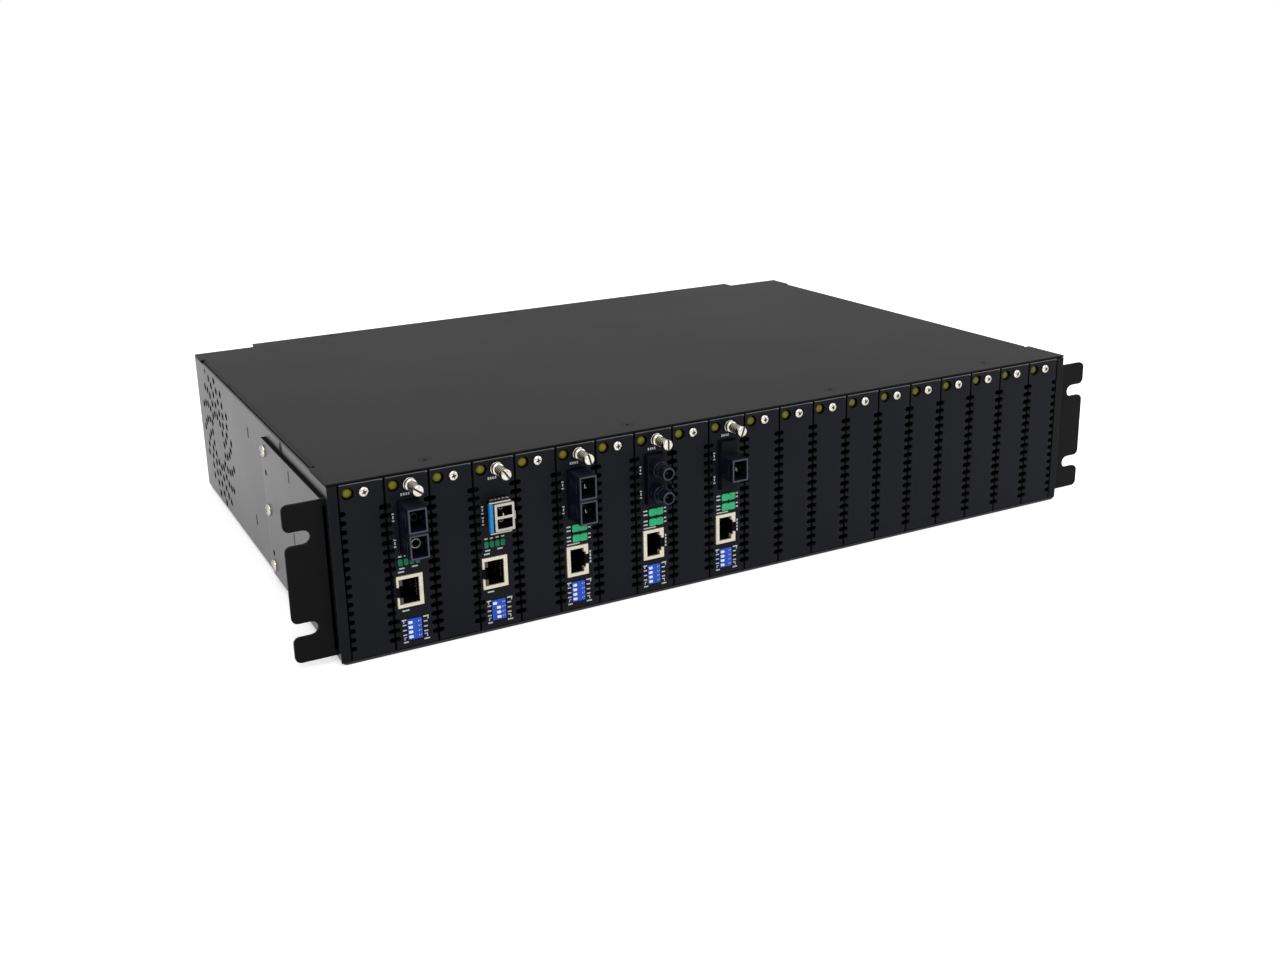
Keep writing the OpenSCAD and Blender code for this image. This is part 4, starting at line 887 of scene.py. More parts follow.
@dataclass
class SlotGrid:
    """Sizes that every slot plate shares."""

    first_seam: float = -216.0
    pitch: float = 21.6
    gap: float = 0.8
    low: float = 1.5
    high: float = 87.4
    plate: float = 1.6
    notch_count: int = 16
    notch_low: float = 6.9
    notch_step: float = 4.44
    notch_d: float = 3.0
    notch_short: float = 1.5
    notch_h: float = 2.5
    shade: tuple[float, float, float] = (0.02, 0.13, 0.2)
    light_x: float = 4.65
    screw_x: float = 12.0
    row_z: float = 82.7
    light_r: float = 2.35
    light_hole_r: float = 2.9
    wide_jack_z: float = 30.3
    jack_h: float = 16.0

    def seam(self, slot: int) -> float:
        """Distance of a slot's left seam from the middle of the body."""
        return self.first_seam + (slot - 1) * self.pitch

    def outline(self, wide: bool) -> Outline:
        """Outline of a slot plate from its left seam, with vent notches on both edges.

        Args:
            wide: Whether the plate has a wide copper socket, beside which notches are short.

        Returns:
            The points, anticlockwise.
        """
        left, right = self.gap / 2, self.pitch - self.gap / 2
        r = self.notch_h / 2
        up: Outline = []
        down: Outline = []
        for i in range(self.notch_count):
            z = self.notch_low + i * self.notch_step
            beside = wide and abs(z - self.wide_jack_z) < self.jack_h / 2 + self.notch_h
            for points, deep, side in ((up, self.notch_d, -1),
                                       (down, self.notch_short if beside else self.notch_d, 1)):
                base = self.pitch if side < 0 else 0.0
                edge = right if side < 0 else left
                notch = [(edge, z - r)]
                for k in range(7):
                    a = math.radians(-90 + 30 * k)
                    notch.append((base + side * (deep - r + r * math.cos(a)), z + r * math.sin(a)))
                notch.append((edge, z + r))
                points.extend(notch)
        return [(left, self.low), (right, self.low), *up, (right, self.high),
                (left, self.high), *reversed(down)]

    def plate_form(self, windows: Sequence[Outline], screw_r: float, wide: bool) -> Form:
        """A slot plate from its left seam, with its holes."""
        loops = [self.outline(wide), circle(self.light_x, self.row_z, self.light_hole_r),
                 circle(self.screw_x, self.row_z, screw_r, 24), *windows]
        return Form().sheet(loops, 0.0, self.plate, soft=0.22, steps=1)

    def seam_shade_form(self) -> Form:
        """Painted shade on the rolled edges of a slot plate beside its seams, between its notches.
        """
        form = Form()
        foot, between, head = self.shade
        marks = [self.notch_low + i * self.notch_step for i in range(self.notch_count)]
        ends = [self.low + 0.3, *(z + side * self.notch_h / 2 for z in marks
                                  for side in (-1, 1)), self.high - 0.5]
        for low, high in zip(ends[::2], ends[1::2]):
            over = foot if low < self.notch_low else head if high > marks[-1] + 2 else between
            for a, b in ((self.gap / 2, self.gap / 2 + over),
                         (self.pitch - self.gap / 2 - over, self.pitch - self.gap / 2)):
                form.box((a - 0.02, -0.02, low + 0.05), (b + 0.02, 1.5, high - 0.05))
        return form

    def highlight_form(self) -> Form:
        """A painted highlight on the rounded top edge of a slot plate and on its corner at the
        right.
        """
        form = Form().box((self.gap, -0.03, self.high - 0.42),
                          (self.pitch - self.gap, 0.4, self.high + 0.02), 0.12)
        return form.box((self.pitch - self.gap - 0.75, -0.05, self.high - 0.8),
                        (self.pitch - self.gap / 2 - 0.05, 0.5, self.high + 0.03), 0.2)


GRID = SlotGrid()


@dataclass(frozen=True)
class SlotPlace:
    """A slot that holds a module, and the pieces that go into it."""

    slot: int

    def put(self, form: Form, name: str, finish: Finish, *nodes: str,
            body: str = "module") -> None:
        """Makes a form, drawn from the slot's left seam, a piece of this slot.

        Args:
            form: The form.
            name: Name of the piece after the slot's own.
            finish: Its finish.
            nodes: Names, after the slot's own, of the CAD nodes that it stands for.
            body: Name, after the slot's own, of the CAD body that it rides on.
        """
        own = f"slot_{self.slot}_"
        Form().add(form, shift(GRID.seam(self.slot))).piece(
            own + name, finish, own + body, *(own + node for node in nodes))


@dataclass
class BlankPanels:
    """The blank plates, their screws and the lights of all slots."""

    slots: tuple[int, ...] = (1, 3, 5, 7, 9, *range(11, 21))
    dome_tip: float = 0.8
    dome_h: float = 1.1
    light_len: float = 8.0
    screw_turn: int = 47
    head_r: float = 2.5
    head_h: float = 1.5

    def lights(self) -> None:
        """Twenty domed lights with the shadow line of their flange."""
        r = GRID.light_r
        dome = [(self.dome_tip + self.dome_h * (1 - math.cos(math.radians(a))),
                 r * math.sin(math.radians(a))) for a in range(0, 91, 10)]
        dome += [(self.light_len - 0.3, r), (self.light_len - 0.3, r + 0.5),
                 (self.dome_tip + self.light_len, r + 0.5),
                 (self.dome_tip + self.light_len, 0.0)]
        one = Form().lathe(dome, steps=32)
        Form().add(one, *(shift(GRID.seam(s) + GRID.light_x, 0, GRID.row_z)
                          for s in range(1, 21))).piece("slot_light_domes", AMBER, "chassis",
                                                        "slot_lights")

    def dress(self) -> None:
        """Builds the plates, the screws and the lights."""
        plate = GRID.plate_form([], 1.75, False)
        seams = [shift(GRID.seam(s)) for s in self.slots]
        Form().add(plate, *seams).piece("blank_plate_set", PLATE_COAT, "chassis", "blank_panels")
        screw = pan_screw(self.head_r, self.head_h, 1.5, 6.0)
        spots = [seam @ shift(GRID.screw_x, 0, GRID.row_z) @ turned(s * self.screw_turn % 90)
                 for s, seam in zip(self.slots, seams)]
        Form().add(screw, *spots).piece("plate_screw_set", NICKEL, "chassis", "blank_panel_screws")
        # Painted shade in the screws' cross recesses.
        Form().add(recess_shade(self.head_r, self.head_h), *spots).piece(
            "plate_screw_recess_shade", GROOVE_SHADE, "chassis")
        # Painted highlight on the plates' top edges.
        Form().add(GRID.highlight_form(), *seams).piece("blank_plate_highlights", HIGHLIGHT_COAT, "chassis")
        # Painted shade beside the seams.
        Form().add(GRID.seam_shade_form(), *seams).piece("blank_plate_seam_shade", DARK_PLASTIC_AND_SHADE, "chassis")
        self.lights()


@dataclass
class CopperSocket:
    """A shielded eight-way socket with its keyed opening and contacts."""

    low_x: float
    width: float
    z: float
    key_left: bool
    height: float = 16.0
    out: float = 0.6
    band: float = 2.0
    opening_w: float = 7.3
    opening_h: float = 12.6
    contact_step: float = 1.02
    contact_lean: float = 20.0
    thin: float = 1.1
    latch_share: float = 0.42
    contacts: int = 8

    def face(self) -> Outline:
        """The frame round the plug opening as one loop, open where the plug's latch goes."""
        w, h, out = self.width, self.opening_h / 2, self.height / 2
        x0, latch = self.band, h * self.latch_share
        if self.key_left:
            x1 = w - self.thin
            low = [(w, -latch), (x1, -latch), (x1, -h), (x0, -h)]
        else:
            x1 = x0 + self.opening_w
            low = [(w, -latch), (x1 + 1, -latch), (x1 + 1, -h * 0.66), (x1, -h * 0.66),
                   (x1, -h), (x0, -h)]
        loop = low + [(x, -z) for x, z in reversed(low)] + [(w, out), (0, out), (0, -out),
                                                            (w, -out)]
        if self.key_left:
            loop = [(w - x, z) for x, z in reversed(loop)]
        return [(self.low_x + x, self.z + z) for x, z in loop]

    def window(self, fit: float) -> Outline:
        """The opening that the socket needs in the plate."""
        out = self.height / 2 + fit
        return rectangle(self.low_x - fit, self.z - out, self.low_x + self.width + fit,
                         self.z + out)

    def build(self, place: SlotPlace) -> None:
        """Builds the socket of one module."""
        h, out = self.opening_h / 2, self.height / 2
        shell = Form().sheet([self.face()], -self.out, 2.2, soft=0.2)
        left, right = max(self.low_x, 3.6), self.low_x + self.width
        hole = ((left + 0.3, right - self.band) if self.key_left
                else (left + self.band, right - 1.5))
        shell.sheet([rectangle(left, self.z - out, right, self.z + out),
                     rectangle(hole[0], self.z - h, hole[1], self.z + h)], 3.1, 13.2,
                    soft=0.05)
        place.put(shell, "socket_shield", SHIELD, "copper_socket")
        lining = Form().sheet([rectangle(hole[0] - 0.02, self.z - h - 0.02, hole[1] + 0.02,
                                         self.z + h + 0.02),
                               rectangle(hole[0] + 0.2, self.z - h + 0.2, hole[1] - 0.2,
                                         self.z + h - 0.2)], 0.4, 13.0, soft=0.0)
        lining.box((hole[0], 11.9, self.z - h), (hole[1], 13.1, self.z + h))
        latch = h * self.latch_share
        key = ((self.low_x, hole[0] + 0.1) if self.key_left else (hole[1] - 0.1, right))
        lining.box((key[0] + 0.05, 0.5, self.z - latch - 0.1), (key[1], 2.1, self.z + latch + 0.1))
        if self.key_left:
            lining.box((self.low_x + self.thin - 0.1, 0.6, self.z - h),
                       (hole[0] + 0.1, 2.1, self.z + h))
        place.put(lining, "socket_lining", DARK_PLASTIC_AND_SHADE)
        if self.key_left:
            windows = Form()
            for side in (-1, 1):
                low, high = sorted((self.z + side * h * 0.50, self.z + side * h))
                windows.box((self.low_x + self.thin, -0.1, low),
                            (self.low_x + self.thin + 1.9, 1.6, high), 0.12)
            place.put(windows, "socket_windows", SMOKE)
        pins = Form()
        back = self.low_x + (self.width - self.band if self.key_left else self.band)
        lean = -1.0 if self.key_left else 1.0
        for i in range(self.contacts):
            z = self.z + (i - (self.contacts - 1) / 2) * self.contact_step
            pin = Form().box((-0.12, 0.0, -0.2), (0.12, 8.5, 0.2), 0.05)
            pins.add(pin, shift(back + lean * 0.45, 2.6, z)
                     @ turned(-lean * self.contact_lean, "Z"))
        place.put(pins, "socket_contacts", GOLD)


PORT_BACK = ((3.6, 3.1, 49.8), (15.6, 29.1, 74.8))
BASE_HALF = (4.9, 13.0)


@dataclass
class SquarePorts:
    """Square fibre ports: a nose with one or two openings, rims and sleeves."""

    heights: tuple[float, ...]
    middle: float = 10.8
    nose_w: float = 9.6
    nose_h: float = 25.0
    z: float = 62.3
    out: float = 13.0
    opening_w: float = 7.5
    opening_h: float = 10.1
    key_h: float = 3.2
    key_w: float = 0.55
    rim: float = 0.75
    base: bool = False
    ring_at: int = -1
    clips: bool = False

    def window(self, fit: float) -> Outline:
        """The opening that the ports, or their base, need in the plate."""
        w, h = BASE_HALF if self.base else (self.nose_w / 2, self.nose_h / 2)
        return around(self.middle, self.z, w + fit, h + fit)

    def build(self, place: SlotPlace) -> None:
        """Builds the ports of one module."""
        m = self.middle
        nose = around(m, self.z, self.nose_w / 2, self.nose_h / 2, 0.5)
        holes = []
        for z in self.heights:
            w, h = self.opening_w / 2, self.opening_h / 2
            key, side = self.key_h / 2, m + w + self.key_w
            holes.append([(m - w, z - h), (m + w, z - h), (m + w, z - key), (side, z - key),
                          (side, z + key), (m + w, z + key), (m + w, z + h), (m - w, z + h)])
        form = Form().sheet([nose, *holes], -self.out, -0.9, soft=0.3, steps=2)
        form.sheet([nose], -1.1, 3.0, soft=0.2)
        form.box(*PORT_BACK, 0.4)
        if self.base:
            base = Form().sheet([around(m, self.z, *BASE_HALF, 0.8)], -3.0, 1.6, soft=0.35)
            place.put(base, "port_base", PORT_BASE)
        for z in self.heights:
            form.box((m - self.nose_w / 2 - 0.25, -self.out + 3.2, z - 3.2),
                     (m - self.nose_w / 2 + 0.3, -1.2, z + 3.2), 0.2)
        place.put(form, "port_housing", NAVY, "fibre_port")
        rims, tubes, latches = Form(), Form(), Form()
        for z in self.heights:
            w, h = self.opening_w / 2, self.opening_h / 2
            rim_w, rim_h = w + self.rim, h + self.rim
            rims.sheet([around(m, z, rim_w, rim_h, 0.3),
                        around(m, z, w + 0.05, h + 0.05, 0.2)],
                       -self.out - 0.12, -self.out + 0.5, soft=0.12)
            tubes.lathe([(-7.0, 1.35), (-7.0, 2.15), (-6.85, 2.3), (-0.9, 2.3), (-0.9, 1.3),
                         (-6.8, 1.3), (-7.0, 1.35)], (m, 0, z), steps=32)
            for side in (-1, 1):
                latches.box((m + side * 2.9 - 0.3, -8.6, z - 1.0),
                            (m + side * 2.9 + 0.3, -1.0, z + 1.0), 0.2)
        # Painted highlight: the rims are a lighter navy than the housing.
        place.put(rims, "port_rim_highlights", NAVY_HIGHLIGHT)
        place.put(tubes, "port_sleeves", NAVY)
        place.put(latches, "port_latches", NAVY)
        bright = Form()
        if self.ring_at >= 0:
            bright.lathe([(-7.4, 2.08), (-7.4, 2.28), (-6.9, 2.34), (-6.8, 2.0), (-7.4, 2.08)],
                         (m, 0, self.heights[self.ring_at]), steps=36)
        if self.clips:
            for z in self.heights:
                bright.box((m + 0.3, -8.0, z - 1.9), (m + 0.75, -6.8, z + 0.4), 0.12)
                bright.box((m + 1.0, -8.0, z - 2.2), (m + 1.35, -6.9, z - 0.9), 0.1)
        if self.ring_at >= 0 or self.clips:
            place.put(bright, "port_bright", STEEL)


@dataclass
class RoundPorts:
    """Two bayonet barrels on one base block."""

    middle: float = 10.8
    z: float = 62.3
    pitch: float = 12.7
    out: float = 15.5

    def window(self, fit: float) -> Outline:
        """The opening that the base needs in the plate."""
        return around(self.middle, self.z, BASE_HALF[0] + fit, BASE_HALF[1] + fit)

    def build(self, place: SlotPlace) -> None:
        """Builds the barrels of one module."""
        m, tip = self.middle, -self.out
        block = Form().sheet([around(m, self.z, *BASE_HALF, 0.8)], -3.0, 3.1, soft=0.4, steps=2)
        block.box(*PORT_BACK, 0.4)
        barrels, rims, ferrules = Form(), Form(), Form()
        for side in (-1, 1):
            z = self.z + side * self.pitch / 2
            barrels.lathe([(-3.0, 4.6), (-7.6, 4.6), (-8.0, 4.4), (-8.2, 4.0), (-9.6, 3.9),
                           (-9.8, 3.3), (tip + 0.25, 3.2), (tip, 3.0), (tip, 2.3),
                           (-6.5, 2.3), (-6.5, 0.0)], (m, 0, z), steps=40)
            barrels.lathe([(-0.7, 0.65), (7.9, 0.65)], (m - 3.6, tip + 4.5, z), Axis.X, 16)
            rims.lathe([(tip - 0.02, 2.75), (tip - 0.02, 2.95), (tip + 0.18, 3.22),
                        (tip + 0.35, 3.24)], (m, 0, z), steps=40)
            ferrules.lathe([(tip + 3.0, 0.0), (tip + 2.2, 0.9), (tip + 2.4, 1.2), (-6.4, 1.25)],
                           (m, 0, z), steps=24)
        barrels.add(Form().box((m + 2.9, -13.0, 60.2), (m + 4.2, -8.2, 61.6), 0.25))
        place.put(block, "port_base", PORT_BASE)
        place.put(barrels, "port_housing", NAVY, "fibre_port")
        # Painted highlight: the rims are a lighter navy than the housing.
        place.put(rims, "port_rim_highlights", NAVY_HIGHLIGHT)
        place.put(ferrules, "port_ferrules", NAVY)


@dataclass
class Transceiver:
    """The pluggable transceiver, its cage and its blue bail latch."""

    middle: float = 12.0
    z: float = 60.55
    nose_w: float = 10.2
    nose_h: float = 13.9
    out: float = 8.5
    cage_w: float = 9.9
    cage_h: float = 14.7
    core_w: float = 8.5
    core_h: float = 13.3
    bore_side: float = 3.125
    pivot_y: float = -6.9
    bail_reach: float = 10.55

    def window(self, fit: float) -> Outline:
        """The opening that the cage needs in the plate."""
        return around(self.middle, self.z, self.cage_w / 2 + fit, self.cage_h / 2 + fit)

    def build(self, place: SlotPlace) -> None:
        """Builds the transceiver in its cage, and the bail latch round its nose."""
        m, z = self.middle, self.z
        w, h = self.cage_w / 2, self.cage_h / 2
        cage = Form().sheet([around(m, z, w, h, 0.4),
                             around(m, z, w - 0.4, h - 0.4, 0.2)], -2.5, 46.6, soft=0.12)
        cage.box((m - w + 0.2, 46.6, z - h + 0.2), (m + w - 0.2, 47.0, z + h - 0.2))
        cage.box((3.6, 3.1, z - h), (m - w, 47.0, z + h), 0.2)
        for i in range(5):
            x = m - 3.8 + i * 1.9
            cage.box((x - 0.55, -2.3, z + h - 0.05), (x + 0.55, -0.1, z + h + 0.3), 0.15)
        place.put(cage, "cage_sheet", STEEL, "transceiver_cage")
        nw, nh = self.nose_w / 2, self.nose_h / 2
        cw, ch = self.core_w / 2, self.core_h / 2
        mids = [z + s * self.bore_side for s in (-1, 1)]
        holes = [around(m, mid, 3.8, 2.4) for mid in mids]
        nose = Form().sheet([around(m, z, nw, nh, 0.4), *holes], -self.out, -2.8, soft=0.25)
        nose.sheet([around(m, z, cw, ch, 0.2), *holes], -3.8, -1.1, soft=0.1)
        nose.box((m - cw, -1.2, z - ch), (m + cw, 45.3, z + ch), 0.2)
        nose.box((m - 1.1, -self.out - 0.1, z - 0.72), (m - 0.5, -2.9, z + 2.2), 0.12)
        nose.box((m + nw - 0.1, -7.6, z - 3.9), (m + nw + 0.35, -3.2, z + 3.9), 0.2)
        nose.box((m + nw + 0.1, -7.9, z - 2.1), (m + nw + 0.75, -3.0, z + 2.1), 0.25)
        for y in (-7.6, -5.9, -4.2):
            nose.box((m - 4.6, y, z + nh - 0.02), (m + 4.6, y + 0.35, z + nh + 0.2), 0.08)
        place.put(nose, "transceiver_nose", STEEL, "transceiver", body="transceiver")
        inner = Form()
        inner.box((m - 4.5, -8.0, z + nh - 0.1), (m + 4.5, -3.0, z + nh + 0.04))
        sleeves = Form()
        for mid, hole in zip(mids, holes):
            inner.sheet([hole, around(m, mid, 3.5, 2.1)], -self.out + 0.15, -1.3, soft=0.0)
            inner.box((m - 3.7, -1.6, mid - 2.3), (m + 3.7, -1.1, mid + 2.3))
            sleeves.lathe([(-3.4, 0.65), (-3.4, 1.0), (-1.4, 1.0)], (m, 0, mid), steps=20)
        place.put(inner, "transceiver_lining", DARK_PLASTIC_AND_SHADE, body="transceiver")
        place.put(sleeves, "transceiver_sleeves", CERAMIC, body="transceiver")
        pivot = m + nw - 2.0
        bail = Form()
        for s in (-1, 1):
            low, high = sorted((z + s * (nh + 0.3), z + s * (nh + 1.1)))
            bail.sheet([rectangle(pivot - self.bail_reach, self.pivot_y - 0.8, pivot + 0.8,
                                  self.pivot_y + 0.8, 0.7)], low, high, Plane.TOP, soft=0.15)
            pin_low, pin_high = sorted((z + s * (nh - 0.5), z + s * (nh + 0.9)))
            bail.lathe([(pin_low, 0.0), (pin_low, 0.6), (pin_high, 0.6), (pin_high, 0.0)],
                       (pivot, self.pivot_y, 0), Axis.Z, 16)
        bar = Form().box((pivot - self.bail_reach, self.pivot_y - 1.2, z - nh - 0.2),
                         (pivot - 8.75, self.pivot_y + 1.2, z + nh + 0.2), 0.35)
        place.put(bail, "bail_wire", STEEL, body="bail")
        place.put(bar, "bail_grip", BAIL, "bail_latch", body="bail")


@dataclass
class Module:
    """One converter module: plate, ports, switch, lights, marks and thumbscrew."""

    slot: int
    port: Port
    wide: bool
    place: SlotPlace = field(init=False)
    ports: SquarePorts | RoundPorts | Transceiver = field(init=False)
    socket: CopperSocket = field(init=False)
    fit: float = 0.3
    switch_x: float = 6.3
    switch_w: float = 7.1
    switch_z: float = 5.4
    switch_h: float = 10.4
    lever_pitch: float = 2.45
    lever_shifts: tuple[float, ...] = (0.0, 0.0, 0.0, 0.0)
    lever_w: float = 2.1
    screw_tip: float = -13.5
    ring_step: float = 1.42

    def __post_init__(self) -> None:
        """Finds the module's place, ports and socket."""
        self.place = SlotPlace(self.slot)
        self.ports = {
            Port.SQUARE_PAIR: SquarePorts((68.65, 55.95), ring_at=1 if self.wide else -1,
                                          clips=not self.wide),
            Port.SQUARE_SINGLE: SquarePorts((62.3,), nose_h=12.2, base=True, clips=True),
            Port.ROUND_PAIR: RoundPorts(), Port.TRANSCEIVER: Transceiver()}[self.port]
        self.socket = (CopperSocket(2.3, 13.0, 30.3, True) if self.wide
                       else CopperSocket(3.9, 11.8, 27.0, False))

    def windows(self) -> list[Outline]:
        """The openings of this module's plate."""
        fit, x, z = self.fit, self.switch_x, self.switch_z
        found = [self.ports.window(fit), self.socket.window(fit),
                 rectangle(x - fit, z - fit, x + self.switch_w + fit, z + self.switch_h + fit)]
        found += [rectangle(x0 - 0.1, z0 - 0.1, x1 + 0.1, z1 + 0.1)
                  for x0, z0, x1, z1 in self.light_spots()]
        return found

    def light_spots(self) -> list[tuple[float, float, float, float]]:
        """Low and high corners of this module's status lights."""
        if self.wide:
            return [(5 + i * 2.8 - 1.15, 43.2, 5 + i * 2.8 + 1.15, 46.8) for i in range(4)]
        return [(7.4, z, 15.6, z + 4.0) for z in (36.9, 42.3)]

    def lights(self) -> None:
        """Status lights: a row of four, or two notched blocks."""
        form = Form()
        for x0, z0, x1, z1 in self.light_spots():
            if self.wide:
                form.sheet([rectangle(x0, z0, x1, z1, 0.8)], -0.55, 1.6, soft=0.3, steps=2)
            else:
                mid, n = (x0 + x1) / 2, 0.55
                half = [(mid - n, z0), (mid, z0 + n), (mid + n, z0)]
                top = [(mid + n, z1), (mid, z1 - n), (mid - n, z1)]
                right = rectangle(x0, z0, x1, z1, 0.7)
                loop = right[:10] + top + right[10:] + half
                form.sheet([loop], -0.6, 1.6, soft=0.3, steps=2)
        self.place.put(form, "status_lenses", LIGHT_ROW if self.wide else LIGHT_BLOCK)

    def switch(self) -> None:
        """The blue lever switch with its white levers and small position marks."""
        x, z0 = self.switch_x, self.switch_z
        mids = [z0 + self.switch_h / 2 + (i - 1.5) * self.lever_pitch for i in range(4)]
        slots = [rectangle(x + 0.25, z - 0.75, x + self.switch_w - self.lever_w, z + 0.75)
                 for z in mids]
        outline = rectangle(x, z0, x + self.switch_w, z0 + self.switch_h, 0.2)
        form = Form().sheet([outline, *slots], -0.3, -0.1, soft=0.05)
        form.sheet([outline], -0.12, 7.7, soft=0.02)
        form.box((3.6, 3.1, z0), (x + 0.2, 7.7, z0 + self.switch_h), 0.1)
        self.place.put(form, "switch_case", BLUE, "switch_body")
        banks: dict[str, Form] = {}
        for i, (z, move) in enumerate(zip(mids, self.lever_shifts)):
            low = x + 0.3 + move
            bank = "upper_lever" if self.port is Port.TRANSCEIVER and i == 3 else "levers"
            banks.setdefault(bank, Form()).box((low, -0.9, z - 0.62),
                                               (low + self.lever_w, 0.8, z + 0.62), 0.2)
        for bank, levers in banks.items():
            node = "switch_levers" if bank == "levers" else bank
            self.place.put(levers, f"{bank}_caps", WHITE, node, body=bank)
        marks = Form()
        for z in mids:
            marks.box((x + 5.3, -0.34, z - 0.35), (x + 5.8, -0.09, z + 0.3), 0.02)
            marks.box((x + 6.3, -0.34, z - 0.1), (x + 6.75, -0.09, z + 0.35), 0.02)
        self.place.put(marks, "switch_marks", INK)

    def marks(self) -> None:
        """Plain white index lines beside the ports, lights and switch."""
        ink = Form()

        def line(x: float, z: float, w: float, h: float) -> None:
            """Adds one printed line, from its low corner."""
            ink.box((x, -0.03, z), (x + w, 0.02, z + h))

        if self.wide:
            for i in range(4):
                line(4.2 + i * 2.9, 47.6, 1.6, 0.7)
            for x, w in ((4.3, 2.6), (10.6, 2.8)):
                line(x, 41.6, w, 0.7)
            line(3.6, 39.9, 3.0, 0.7)
            line(4.4, 20.2, 3.4, 0.7)
        else:
            for z in (37.6, 39.6, 43.0, 45.0):
                line(4.4, z, 2.3, 0.75)
                line(16.2, z, 1.3, 0.75)
            line(4.4, 35.8, 7.0, 0.6)
            for z in (24.4, 26.2, 28.0, 29.8):
                line(16.6, z, 0.75, 1.2)
        for z in (12.9, 10.3, 7.9):
            line(3.9, z, 1.9, 0.65)
            line(14.4, z, 1.9, 0.65)
        for x, z, w, h in ((3.7, 15.4, 2.2, 0.7), (14.3, 15.4, 2.8, 0.7), (4.3, 14.2, 0.5, 1.2),
                           (16.4, 14.2, 0.5, 1.2), (4.3, 5.6, 0.5, 1.4), (4.3, 6.6, 1.3, 0.5),
                           (3.9, 4.1, 2.4, 0.7), (14.4, 6.6, 1.6, 0.5), (15.6, 5.3, 0.5, 1.4),
                           (14.2, 3.9, 2.8, 0.7)):
            line(x, z, w, h)
        port_x = 3.4 if self.port is Port.TRANSCEIVER else 2.6
        for z in ((63.0, 57.4) if self.port is Port.TRANSCEIVER else (67.8, 55.0)):
            line(port_x, z + 1.2, 1.2, 0.6)
            line(port_x + 0.3, z - 0.8, 0.6, 1.4)
            line(port_x, z - 2.2, 1.2, 0.6)
        for i in range(4):
            line(7.6 + i * 1.2, 77.4, 0.75, 1.25)
        self.place.put(ink, "index_lines", INK)

    def thumbscrew(self) -> None:
        """The long thumbscrew: ringed barrel, rounded tip and a driver slot."""
        tip = self.screw_tip
        head = Form().lathe([(tip, 0.0), (tip, 2.0), (tip + 0.25, 2.45), (tip + 0.8, 2.75),
                             (tip + 2.4, 2.8), (tip + 2.9, 2.5), (tip + 3.0, 0.0)], steps=48)
        head.cut(Form().box((-4, tip - 1, -0.5), (4, tip + 1.2, 0.5)))
        head.lathe([(-3.9, 0.0), (-3.9, 2.3), (-3.6, 2.9), (-3.0, 3.2), (-2.3, 3.2),
                    (-2.1, 2.9), (-2.1, 0.0)], steps=48)
        head.lathe([(-1.5, 0.0), (-1.5, 2.9), (-1.3, 3.2), (-0.6, 3.2), (-0.3, 3.0),
                    (-0.3, 1.5), (6.1, 1.5), (6.5, 1.2), (6.5, 0.0)], steps=48)
        # Painted shade: a dark core between the rings, a dark ring in the gap behind the collar
        # and a dark floor in the driver slot.
        dark = Form().lathe([(tip + 2.8, 0.0), (tip + 2.8, 2.05), (-0.5, 2.05), (-0.5, 0.0)],
                            steps=40)
        dark.lathe([(-2.1, 0.0), (-2.1, 2.75), (-1.5, 2.75), (-1.5, 0.0)], steps=40)
        dark.box((-2.55, tip + 0.85, -0.48), (2.55, tip + 1.25, 0.48))
        rings = Form()
        y = tip + 3.35
        while y < -4.6:
            rings.lathe([(y, 1.9), (y + 0.08, 2.42), (y + 0.25, 2.5), (y + 0.7, 2.5),
                         (y + 0.85, 2.42), (y + 0.93, 1.9)], steps=40)
            y += self.ring_step
        at = shift(GRID.screw_x, 0, GRID.row_z) @ turned(20 + 9 * self.slot)
        for form, name, finish, nodes in ((head, "turned", NICKEL, ("thumbscrew",)),
                                          (rings, "rings", BARREL, ()),
                                          (dark, "groove_shade", GROOVE_SHADE, ())):
            self.place.put(Form().add(form, at), f"thumbscrew_{name}", finish, *nodes,
                           body="screw")

    def dress(self) -> None:
        """Builds everything on the module's front."""
        plate = GRID.plate_form(self.windows(), 1.55, self.wide)
        self.place.put(plate, "plate", PLATE_COAT, "faceplate")
        # Painted highlight on the plate's top edge.
        self.place.put(GRID.highlight_form(), "plate_highlight", HIGHLIGHT_COAT)
        # Painted shade beside the seams.
        self.place.put(GRID.seam_shade_form(), "plate_seam_shade", DARK_PLASTIC_AND_SHADE)
        self.ports.build(self.place)
        self.socket.build(self.place)
        self.lights()
        self.switch()
        self.marks()
        self.thumbscrew()
        paint_nodes(BOARD, f"slot_{self.slot}_circuit_board")


# Rear and inside


